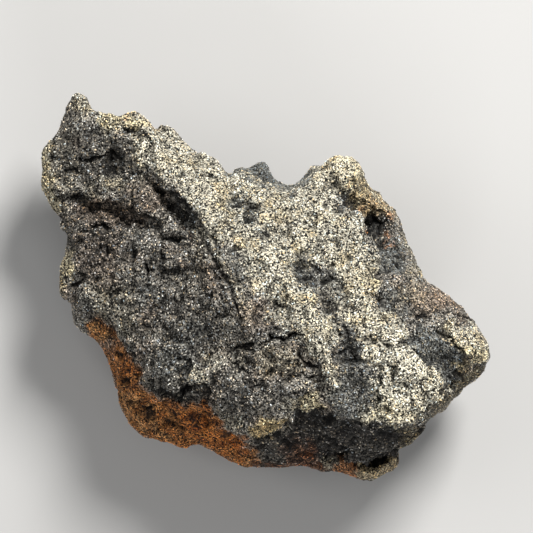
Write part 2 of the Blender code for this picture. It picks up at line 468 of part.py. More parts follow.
def broken(p, quads, beside):
    """The even mesh with the broken relief that lies between the drawn creases."""
    normal = normals_of(p, quads)
    # It dies out towards the outline, so that the outline stays as drawn.
    from_edge = np.clip(to_line(grid_of(p), OUTLINE, True, 15) / 14, 0, 1)
    calm = 0.25 + 0.75 * from_edge * from_edge * (3 - 2 * from_edge)
    bent = p + 0.8 * MM * layered(p, 3 * MM, 1, seed=9)[:, None]
    face, _, _ = chips(bent, CHIP * MM, seed=3)
    relief = WAVE_RELIEF * MM * layered(p, 9 * MM, 3, seed=1) + CHIP_RELIEF * MM * face
    # The back is rougher, apart from the flats that it rests on.
    back = np.clip(-normal[:, 2] * 2 + 0.2, 0, 1)
    resting = np.clip(-normal[:, 2] * 4 - 2.6, 0, 1) * np.clip(1.6 - p[:, 2] / MM, 0, 1)
    relief = relief * (1 + 0.5 * back) * (1 - 0.2 * resting) + 0.1 * MM * resting
    drop = ledges(grid_of(p)) * (normal[:, 2] > -0.15)
    return p + normal * smoothed(relief * calm - drop * MM, beside, 2)[:, None]


def thinned(points, quads):
    """The same surface in fewer triangles, cut off flat where the stone rests."""
    obj = mesh_object("fine", points / MM, quads)
    thin = obj.modifiers.new("facets", "DECIMATE")
    thin.decimate_type = "COLLAPSE"
    thin.ratio = TRIANGLES / (2 * len(quads))
    thin.use_collapse_triangulate = True
    graph = bpy.context.evaluated_depsgraph_get()
    mesh = bpy.data.meshes.new_from_object(obj.evaluated_get(graph))
    bpy.data.objects.remove(obj)
    for corner in mesh.vertices:
        corner.co *= MM
        if corner.co.z < RESTS_BELOW:
            corner.co.z = 0.0
    places = np.array([corner.co for corner in mesh.vertices])
    middle = Vector((places.min(0) + places.max(0)) / 2)
    for corner in mesh.vertices:
        corner.co.x -= middle.x
        corner.co.y -= middle.y
    mesh.update()
    return mesh


def main():
    for obj in list(bpy.data.objects):
        bpy.data.objects.remove(obj)

    p, quads = even_mesh(*net_mesh(), COARSE_CELL)
    beside = neighbours(quads, len(p))
    p = broken(smoothed(p, beside, 2), quads, beside)
    p[:, 2] = np.maximum(p[:, 2], 0.0)

    stone = bpy.data.objects.new(NODE, thinned(p, quads))
    bpy.context.scene.collection.objects.link(stone)
    stone.data.shade_smooth()

    ore = bpy.data.materials.new("nickelskutterudite_ore")
    ore.use_nodes = True
    look = ore.node_tree.nodes["Principled BSDF"]
    look.inputs["Base Color"].default_value = (0.30, 0.29, 0.26, 1)
    look.inputs["Metallic"].default_value = 0.7
    look.inputs["Roughness"].default_value = 0.5
    stone.data.materials.append(ore)


main()
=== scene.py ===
"""The finish of a hand specimen of massive granular nickelskutterudite ore, lying on its
back on a pale floor and seen from straight above its broken face.

The stone's skin is an even mesh over the drawn net, with broken relief and cut cracks. The
ore's grains are real crystals: small closed solids, set into the skin all over it.
"""

import math

import bpy
import bmesh
import numpy as np
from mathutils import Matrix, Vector
from mathutils.geometry import delaunay_2d_cdt


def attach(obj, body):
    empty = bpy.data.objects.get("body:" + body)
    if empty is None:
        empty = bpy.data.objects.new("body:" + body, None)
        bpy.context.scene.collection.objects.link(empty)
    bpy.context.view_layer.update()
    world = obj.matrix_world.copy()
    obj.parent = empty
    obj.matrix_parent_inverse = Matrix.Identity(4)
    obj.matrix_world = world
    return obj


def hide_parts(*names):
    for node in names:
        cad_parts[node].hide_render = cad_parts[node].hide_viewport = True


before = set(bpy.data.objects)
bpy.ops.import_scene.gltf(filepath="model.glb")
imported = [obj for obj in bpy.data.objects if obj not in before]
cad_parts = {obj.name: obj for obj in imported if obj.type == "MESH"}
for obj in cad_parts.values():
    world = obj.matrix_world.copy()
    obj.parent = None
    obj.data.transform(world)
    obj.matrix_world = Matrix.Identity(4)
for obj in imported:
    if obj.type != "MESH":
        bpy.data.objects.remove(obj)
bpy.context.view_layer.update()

NODE = "nickelskutterudite"
UNIT = 0.0002  # metres for one step of the drawing's grid
MIDDLE = (265.25, 287.35)  # the grid point over the origin
TO_MIDDLE = (0.108, -0.058, 0.0)  # mm from there to the middle of the bounding box
MM = 0.001
FINE_CELL = 0.31 * MM
SKIN_TRIANGLES = 190000
WAVE_RELIEF, CHIP, CHIP_RELIEF = 0.75, 5.2, 1.3  # mm
EDGE_ROUND = (2.0, 1.3)

# Outline of the stone seen square on to its broken face: across, down, height of
# the edge above the resting plane in mm.
OUTLINE = [
    (71, 97, 18), (72.5, 94, 18.5), (76, 92, 18.5), (80, 92.3, 18.5), (84, 94.5, 19), (88, 97.5, 19),
    (90, 102, 19), (92, 108, 19.5), (95, 111, 19.5), (100, 112, 20), (104, 114, 20), (106.5, 115, 20),
    (109, 113.5, 20.5), (114, 116, 20.5), (118.5, 116.5, 20.5), (123, 115, 21), (128, 113, 21),
    (134, 111.7, 21.5), (138, 113.3, 21.5), (142.5, 115, 21.5), (146, 118, 21.5), (150, 122.5, 21),
    (153, 126.5, 20), (155.5, 129.7, 19), (157.5, 127.5, 18.5), (159.5, 124.2, 19), (164, 123.8, 20),
    (169.5, 125.3, 20), (174, 129.3, 19.5), (179, 135.3, 19), (184, 141, 18.5), (189, 145.5, 18),
    (192, 149.5, 17), (195, 153.5, 16.5), (198, 153.2, 17.5), (202, 152.3, 18.5), (207, 154, 18.5),
    (213, 157.8, 18), (218, 161.3, 17.5), (222, 166.5, 16.5), (225, 170, 15), (227.5, 171.8, 13),
    (231, 170, 11), (235, 167, 10), (240, 166, 9.5), (246, 166.5, 9.5), (251, 164.8, 9), (256, 162, 9),
    (261, 160.2, 9), (266, 161.7, 9), (268.5, 166, 9.5), (271, 172, 10), (274, 178, 10.5),
    (278, 181.7, 11), (283, 183.7, 11), (289, 184.5, 12), (294, 183.3, 13), (298.5, 180, 14),
    (303, 176, 15), (307, 171, 16), (309.5, 166.5, 17), (313.5, 164.2, 17.5), (319, 165, 18),
    (323.3, 165.5, 18), (324, 162, 18.5), (328, 158, 19.5), (333, 155, 20), (338.5, 154, 20.5),
    (344, 155.7, 20.5), (350, 156.7, 20), (355, 159, 19.5), (358.7, 162.5, 19), (361, 168, 18.5),
    (364, 174, 17.5), (366.8, 181, 16), (370, 185.5, 15), (374.5, 189, 14), (379, 190.5, 13),
    (381.7, 195.5, 12), (383.5, 199.3, 12), (387, 202, 11.5), (391, 205.7, 11), (395, 207.5, 10.5),
    (397.7, 212.5, 10), (400.3, 219.5, 9.5), (403, 227, 9.5), (406, 235, 9.5), (409, 243.5, 10),
    (412, 251, 10), (415.5, 259, 11), (418, 264.5, 12), (421.5, 267.3, 12.5), (424.3, 270.5, 13),
    (424, 275, 13.5), (427.5, 279.5, 14), (433, 283.7, 15), (441, 290, 16), (446, 294.3, 16.5),
    (450.5, 299, 17), (457, 303.7, 17.5), (462, 308.5, 17.5), (467.5, 315, 18), (472.5, 319, 18),
    (477, 325, 18), (480.7, 331.5, 18.5), (484, 336.3, 18.5), (487.3, 342, 19), (489.3, 348, 19),
    (490, 354, 19), (488.3, 360, 18.5), (486.3, 366, 17.5), (484, 371, 17), (479, 377, 16.5),
    (473, 382.3, 16), (466.5, 386, 15.5), (462, 390.3, 15), (457.7, 396, 14.5), (452.5, 400.7, 14),
    (449.3, 405, 13.5), (447, 409.3, 13.5), (442.5, 412.7, 13), (437, 414, 13), (432, 418, 13),
    (428, 422, 12.5), (424, 427, 12), (421.3, 432.7, 12), (418, 437.5, 11.5), (412.5, 444, 11),
    (407, 447, 11), (402, 448, 11), (400, 453, 10.5), (397.5, 457, 10.5), (398.5, 461.5, 10.5),
    (396, 466.5, 10.5), (391.5, 471, 10), (386, 474.5, 10), (380, 478.8, 10), (375, 481.5, 10),
    (370.5, 482.7, 10), (365, 482, 10), (359.5, 480.3, 10), (355, 478.5, 9.5), (350, 475.8, 9.5),
    (343.5, 473.7, 9), (337, 472.6, 9), (330, 471.8, 9), (324, 472.5, 9), (319, 471, 9),
    (313, 468.7, 9), (307, 466.5, 9), (300, 465.7, 9), (293, 466.2, 9), (287, 467.6, 9),
    (278, 468.2, 9), (268, 468, 9), (258, 468, 9), (251, 468, 9), (246, 469, 9), (241.5, 468, 9),
    (237, 465, 9), (231, 463, 9), (225, 460.3, 9), (219, 456.5, 9), (213, 452.7, 9), (207, 449, 9),
    (202, 446.7, 9), (197, 445, 9), (192, 445.7, 9), (187, 447.2, 9), (182, 448.2, 9),
    (177.5, 447.3, 9), (173, 445, 8.5), (168.5, 442.7, 8.5), (164.5, 442.5, 8.5), (161, 443, 8.5),
    (157.5, 440.5, 8.5), (152, 438.7, 8), (146, 438.3, 8), (140.5, 436, 8), (136, 432.5, 8),
    (133, 429.5, 8), (129.5, 426, 8), (126, 421.5, 8), (123.5, 417, 8), (120.5, 412.5, 8),
    (118.3, 407.5, 8.5), (117.7, 401, 8.5), (118, 395.5, 8.5), (117.5, 390.5, 9), (114.5, 387, 9),
    (113.3, 382, 9), (112.7, 377, 9.5), (111.3, 371, 10), (109.7, 364.5, 10.5), (107, 358.5, 11),
    (103, 353.5, 11.5), (99.5, 348.5, 12), (96.5, 343.7, 12.5), (92.7, 339, 13), (88.5, 335, 13.5),
    (84, 332.3, 14), (80, 330, 14.5), (77, 326, 15), (73.8, 321.5, 15.5), (71.5, 315.5, 16),
    (70, 309.5, 16.5), (70, 303.5, 16.5), (67.5, 300.3, 16.5), (64, 298.7, 16.5), (60.5, 296.3, 17),
    (58.7, 291, 17), (58.3, 285, 17), (59.3, 279, 17), (58.5, 273, 17), (59.5, 267, 17),
    (61.5, 260.5, 17), (63.5, 254.5, 17), (65, 248.5, 16.5), (66.3, 242, 16.5), (66, 237, 16),
    (63.5, 232.5, 16), (60.5, 229.5, 16), (58.7, 225.5, 16), (59.7, 220.5, 16), (58.7, 217, 16),
    (55, 213.3, 16), (51.7, 209, 16.5), (49.7, 204.5, 16.5), (48, 199, 17), (45.3, 194, 17),
    (42.5, 189, 17), (40.7, 184, 17.5), (40.7, 178.5, 17.5), (41.7, 173, 17.5), (41.2, 167.5, 18),
    (40.5, 161, 18), (40.7, 154, 18), (42.3, 148, 18), (45.3, 143.7, 18), (48.3, 139.7, 18),
    (51.5, 138, 18.5), (55, 133.7, 18.5), (58.3, 128.5, 18.5), (61, 122, 18.5), (63.5, 115.5, 18.5),
    (66, 108.5, 18), (68.7, 102, 18),
]

# Creases of the broken face: ridges, ledges, grooves and their feet.
FACE_LINES = {
    "main_ridge": [(128, 128, 24), (133, 137, 25.5), (133, 150, 26.5), (143, 160, 27.5), (158, 172, 29), (170, 186, 30.5),
                   (184, 200, 31.5), (197, 217, 33), (208, 236, 34.5), (216, 250, 35.3), (226, 272, 36), (238, 297, 36.8),
                   (252, 325, 37.4), (262, 333, 37.8)],
    "groove_beside_ridge": [(150, 180, 26), (160, 190, 25.2), (170, 203, 25.4), (183, 217, 27.4), (195, 232, 30.2),
                            (203, 246, 33.0), (214, 268, 34.5), (226, 292, 35.6), (238, 315, 36.5)],
    "left_ledge_top": [(92, 188, 21.8), (104, 180, 23.6), (120, 174, 25), (136, 178, 26.2), (148, 190, 27.2), (160, 205, 27.8),
                       (168, 216, 27.6)],
    "left_ledge_lip": [(91, 198, 21), (105, 197, 23.4), (125, 202, 25.4), (143, 208, 26.8), (156, 217, 27.2)],
    "recess_under_ledge": [(88, 206, 19.2), (100, 207, 19.9), (122, 214, 21.2), (142, 222, 22.8), (156, 229, 24.8)],
    "upper_hollow": [(92, 161, 21.1), (104, 156, 21.5), (114, 160, 22.3), (113, 168, 22.4), (102, 171, 22)],
    "upper_hollow_lip": [(80, 160, 21.6), (90, 153, 22.6), (104, 148.5, 23), (118, 151, 24), (128, 163, 25.2)],
    "notch_lip": [(60, 190, 20.6), (72, 187, 21.2), (84, 190, 21.4)],
    "notch_foot": [(61, 196, 18.8), (72, 195.5, 18.8), (82, 198.5, 18.8)],
    "step_lip": [(90, 221, 21.6), (101, 220, 22.2), (113, 223, 23.2)],
    "step_foot": [(91, 227.5, 20.2), (103, 227, 20.8), (114, 230, 22.2)],
    "rust_edge": [(89, 323, 18.4), (100, 318, 19.8), (110, 328, 20.4), (118, 343, 21), (128, 357, 22), (137, 369, 23),
                  (145, 383, 23.4), (152, 394, 22.6), (163, 402, 22.6), (176, 405, 23.2), (190, 403, 24.4), (204, 406, 25.6),
                  (213, 417, 25.8), (224, 429, 25.6), (236, 439, 25), (247, 444, 22.6), (255, 456, 17.6)],
    "rust_middle": [(97, 331, 16.4), (108, 348, 17), (118, 368, 17), (125, 385, 16.8), (131, 399, 16.6), (146, 413, 16.6),
                    (163, 421, 16.6), (184, 426, 16.4), (203, 431, 16.4), (221, 443, 16), (239, 455, 15)],
    "recess_over_rust": [(153, 386, 25.2), (161, 393, 23.2), (173, 396, 23), (185, 394, 23.8), (197, 397, 24.8), (207, 398, 26)],
    "lumps_over_recess": [(150, 374, 27.4), (158, 370, 29.4), (168, 372, 30.6), (172, 383, 29), (180, 378, 28.4), (190, 374, 31.6),
                          (201, 380, 31), (211, 388, 30)],
    "crease_a": [(248, 438, 27.2), (262, 438, 27.8), (275, 435, 28.4), (290, 429, 29.8)],
    "brass_nose": [(249, 431, 29.8), (257, 424, 31.8), (266, 419, 32.6), (278, 418, 33.2), (290, 420.5, 33.2)],
    "crease_b": [(299, 411, 33.6), (315, 411.5, 34.4), (330, 412, 35.2), (342, 415, 36), (355, 419.5, 36.8), (368, 421.5, 37.2),
                 (382, 421.5, 37.2), (395, 424.5, 36.8), (408, 423, 36.2), (418, 418, 34.4), (428, 411, 31.4)],
    "under_a": [(258, 448, 20.6), (285, 445, 22.8), (305, 440, 24.6), (322, 440, 25.4), (340, 437, 27), (355, 436, 28.4),
                (375, 435, 29), (395, 436, 27.2), (408, 434, 22.6)],
    "plate_lip": [(268, 458, 14.2), (295, 456, 15.2), (312, 451, 17.4), (325, 447, 20.4), (338, 447, 22.8), (346, 455, 22.4),
                  (360, 459, 21.4), (378, 457, 21), (391, 450, 19.4), (403, 441, 17.4)],
    "recess_under_plate": [(316, 456, 14.4), (331, 455, 14), (343, 461, 14), (357, 465, 14.4), (372, 464, 14.6), (385, 459, 14.4),
                           (395, 452.5, 13.8)],
    "toe": [(349, 469, 13.4), (360, 472, 15.8), (372, 471, 17), (384, 465.5, 16), (392, 460, 14.8)],
    "bright_rib": [(285, 290, 36.6), (300, 305, 37.8), (314, 325, 39), (322, 345, 39.8), (328, 365, 39.8), (336, 385, 39.2),
                   (345, 402, 38.4), (352, 412, 37.8)],
    "bright_rib_foot": [(268, 303, 36.2), (283, 319, 36.8), (297, 337, 37.2), (304, 352, 38), (311, 370, 37.6), (320, 391, 36.6),
                        (331, 404, 36.2)],
    "valley": [(322, 300, 35.8), (334, 320, 36.4), (341, 345, 37.2), (346, 365, 37.6), (353, 385, 37.4), (362, 402, 37.2)],
    "outer_rib": [(352, 262, 33.4), (358, 285, 35.2), (366, 305, 36.8), (380, 325, 38.4), (395, 343, 39.4), (408, 360, 40),
                  (422, 378, 39.6), (433, 390, 38.2), (428, 401, 37.6), (416, 412, 37)],
    "tip_rib": [(447, 326, 29.6), (455, 335, 31.6), (464, 347, 32.2), (470, 356, 31.2), (467, 364, 28.6)],
    "face_edge": [(333, 199.5, 28), (345, 206.5, 29.2), (356, 213.5, 30.2), (362, 221, 30.8), (362, 231, 30.8), (368, 242, 31.2),
                  (374, 254, 31.4), (379, 266, 31.8)],
    "face_edge_foot": [(339, 195, 25), (349, 201, 24.4), (360, 207, 23), (368.5, 215, 21), (370, 226, 19.4), (375, 238, 20.4),
                       (383, 250, 22.6), (389, 262, 25.6)],
    "crest_edge": [(232, 177.5, 21.6), (240, 174.5, 22), (248, 177, 22.4), (255, 181.5, 23.2), (265, 185.5, 23.8), (275, 189.5, 24.2),
                   (286, 192, 24.6), (296, 189.5, 24.6), (304, 182, 23)],
    "crest_edge_foot": [(234, 172, 13.6), (243, 170, 13.2), (251, 173.5, 13.2), (259, 177.5, 13.4), (268, 181.5, 13.6), (278, 185.6, 13.8),
                        (288, 187.8, 14.4), (295, 186, 15.6)],
}

# Single heights between the creases.
FACE_POINTS = [
    (76, 100, 21), (79, 112, 22.2), (74, 125, 22.6), (90, 121, 23), (95, 135, 23.4), (110, 126, 23.6), (112, 138, 24.2),
    (70, 143, 22), (56, 150, 20.6), (51, 165, 20), (52, 182, 20.2), (66, 168, 20.4), (76, 176, 20.8), (90, 176, 20.8),
    (57, 204, 18.8), (70, 213, 19), (82, 212, 19.6), (72, 232, 19.8), (80, 244, 21.2), (100, 240, 22.8), (112, 208, 21),
    (71, 262, 20.6), (68, 284, 20.2), (83, 280, 21.8), (96, 258, 22.8), (103, 286, 23.6), (122, 244, 24.8),
    (126, 270, 25.4), (150, 246, 27.8), (141, 262, 26.8), (149, 269, 26.6), (157, 276, 27.6), (170, 243, 28.6), (180, 262, 30.4),
    (136, 300, 26.2), (165, 300, 28.8), (190, 288, 31.2), (206, 312, 32.8), (82, 305, 20.4), (98, 306, 22), (114, 316, 22.8),
    (124, 330, 23.8), (134, 345, 25), (146, 358, 26.8), (160, 358, 28.8), (150, 326, 26.8), (168, 332, 28), (182, 342, 29.6),
    (200, 332, 31.4), (190, 357, 30.8), (206, 355, 32.6), (218, 368, 32.8), (224, 342, 33.8), (240, 355, 34.8), (236, 376, 34.2),
    (222, 392, 31.8), (247, 395, 33.8), (216, 403, 29.4), (228, 413, 30), (237, 425, 29.6), (256, 409, 32.6),
    (276, 349, 37.6), (290, 357, 38.2), (268, 368, 36.6), (262, 386, 35.4), (286, 381, 37.2), (301, 376, 37.8), (280, 401, 35.4),
    (270, 410, 34), (301, 399, 36.4), (310, 393, 37.4), (317, 399, 36.8),
    (326, 466, 13.6), (293, 462, 12.2), (375, 350, 38.9), (368, 375, 38.7), (386, 396, 38.6), (376, 410, 38),
    (382, 284, 33.6), (392, 302, 34.6), (400, 280, 30.6), (412, 290, 30.2), (425, 300, 29.4), (441, 303, 25), (455, 312, 22.6),
    (406, 321, 35.2), (420, 317, 33.2), (435, 317, 31.2), (452, 320, 28), (466, 323, 24.4), (425, 336, 33.8), (441, 341, 31.6),
    (432, 356, 32.6), (446, 366, 30.2), (453, 378, 27.4), (445, 386, 31), (479, 345, 27.6), (481, 357, 25.4), (470, 371, 22),
    (460, 382, 22.4), (450, 393, 24), (440, 403, 26),
    (352, 190, 24.2), (364, 197, 22.6), (375, 205, 21.6), (386, 210, 19.8), (391, 221, 18.2), (384, 231, 18), (396, 241, 17.4),
    (401, 255, 18.6), (406, 266, 21), (413, 273, 22), (333, 164, 23.4), (345, 164, 24.4), (354, 172, 23.6), (341, 180, 25.4),
    (356, 183, 22.4), (322, 175, 22.8), (315, 172, 21.6), (262, 168, 12.4), (247, 169, 12), (268, 176, 13),
    (216, 172, 24), (206, 165, 22.6), (196, 165, 23.2), (188, 155, 22.6), (178, 147, 23.2), (167, 132, 22.8), (159, 140, 24.2),
    (150, 131, 23.8), (147, 146, 26.2), (163, 160, 27.6), (180, 175, 28.8), (198, 192, 30.4), (213, 210, 31.8), (222, 232, 33.4),
    (235, 250, 35), (247, 275, 36.2), (262, 297, 36.8), (231, 190, 27.6), (250, 192, 26.8), (272, 200, 27.2), (295, 205, 28.2),
    (315, 198, 27.8), (312, 185, 25.4), (238, 208, 27.4), (247, 213, 28.2), (226, 204, 30.2), (238, 224, 32), (259, 216, 30.8),
    (281, 226, 30.8), (305, 226, 30.6), (330, 221, 30.4), (345, 233, 31.2), (325, 245, 32), (295, 250, 33.2), (263, 252, 34.2),
    (345, 250, 32.4), (296, 268, 32.4), (308, 277, 32.8), (322, 284, 34), (334, 268, 33.8), (278, 272, 35),
]

# The back, seen through the stone: heights of the side it rests on.
BACK_POINTS = [
    (135, 235, 0), (175, 208, 0), (235, 218, 0), (300, 228, 0), (350, 240, 0), (385, 278, 0), (408, 325, 0),
    (398, 370, 0), (368, 398, 0), (320, 416, 0), (255, 420, 0), (203, 405, 0), (165, 380, 0), (146, 340, 0),
    (128, 290, 0), (230, 300, 1.4), (300, 335, 1.8), (262, 372, 0), (330, 290, 0), (200, 340, 0), (185, 270, 0),
    (270, 260, 0), (350, 350, 0), (300, 385, 0.9),
    (90, 150, 9), (108, 195, 5), (88, 262, 7.5), (108, 335, 5.5), (150, 158, 9), (200, 182, 6), (262, 192, 3.6),
    (310, 198, 6), (350, 190, 10), (388, 235, 3.6), (430, 305, 7.5), (462, 348, 9.5), (440, 388, 6.5), (404, 425, 5),
    (350, 450, 4), (280, 448, 3.6), (203, 432, 3.4), (142, 412, 3.2), (72, 118, 14), (122, 128, 15), (120, 372, 4.2),
]

# Ledges: how far the surface drops beside the line, in mm, how wide in grid steps the drop
# fades out again, and the line. The side that drops is on the right hand of someone who
# walks along the line.
LEDGES = [
    (0.6, 10, [(76, 159), (90, 158), (98, 154), (108, 152), (116, 156), (122, 161)]),
    (0.8, 10, [(142, 178), (128, 174), (118, 173), (106, 176), (97, 181)]),
    (0.8, 13, [(58, 199), (70, 195), (80, 193), (90, 198), (104, 200), (120, 203), (134, 208), (146, 214), (162, 219)]),
    (0.6, 10, [(158, 182), (170, 188), (182, 200), (196, 208), (206, 220), (216, 232), (219, 243)]),
    (0.5, 6, [(205, 241), (214, 253), (222, 268), (232, 290), (240, 310), (247, 332)]),
    (0.8, 7, [(230, 347), (245, 345), (257, 347), (262, 340), (272, 335), (283, 336), (292, 332), (304, 334)]),
    (1.0, 14, [(144, 372), (152, 378), (160, 376), (166, 388), (176, 391), (184, 384), (192, 383), (206, 381), (212, 390), (218, 402)]),
    (0.8, 9, [(299, 336), (310, 354), (320, 362), (322, 374), (335, 392)]),
    (0.7, 9, [(339, 390), (336, 372), (330, 358), (336, 344), (340, 330), (338, 316)]),
    (2.0, 20, [(381, 268), (378, 258), (372, 246), (366, 236), (363, 222), (360, 214), (350, 206), (335, 198)]),
    (1.1, 14, [(336, 350), (350, 357), (360, 357), (372, 360), (380, 364), (381, 378), (378, 392), (380, 402), (366, 410), (354, 419)]),
    (0.9, 10, [(442, 324), (450, 334), (458, 346), (466, 356), (473, 363)]),
    (1.0, 12, [(446, 382), (434, 370), (422, 360), (412, 350), (401, 335)]),
    (0.7, 7, [(416, 314), (432, 312), (444, 313), (456, 316), (470, 321)]),
    (0.9, 9, [(314, 449), (330, 458), (345, 455), (352, 461), (370, 461), (385, 457), (400, 448)]),
    (0.8, 9, [(281, 380), (296, 376), (303, 366), (300, 356), (289, 345)]),
    (0.8, 8, [(298, 406), (312, 409), (323, 401)]),
    (0.9, 10, [(247, 441), (262, 438), (275, 433), (294, 427)]),
    (0.7, 8, [(91, 229), (103, 224), (114, 227)]),
    (0.5, 7, [(60, 173), (70, 169), (81, 172)]),
    (0.6, 10, [(161, 239), (172, 236), (185, 240)]),
    (0.6, 9, [(127, 321), (142, 325), (157, 319)]),
    (0.6, 8, [(228, 204), (240, 201), (252, 203), (262, 208)]),
    (0.6, 9, [(296, 262), (310, 262), (326, 270), (342, 279)]),
]

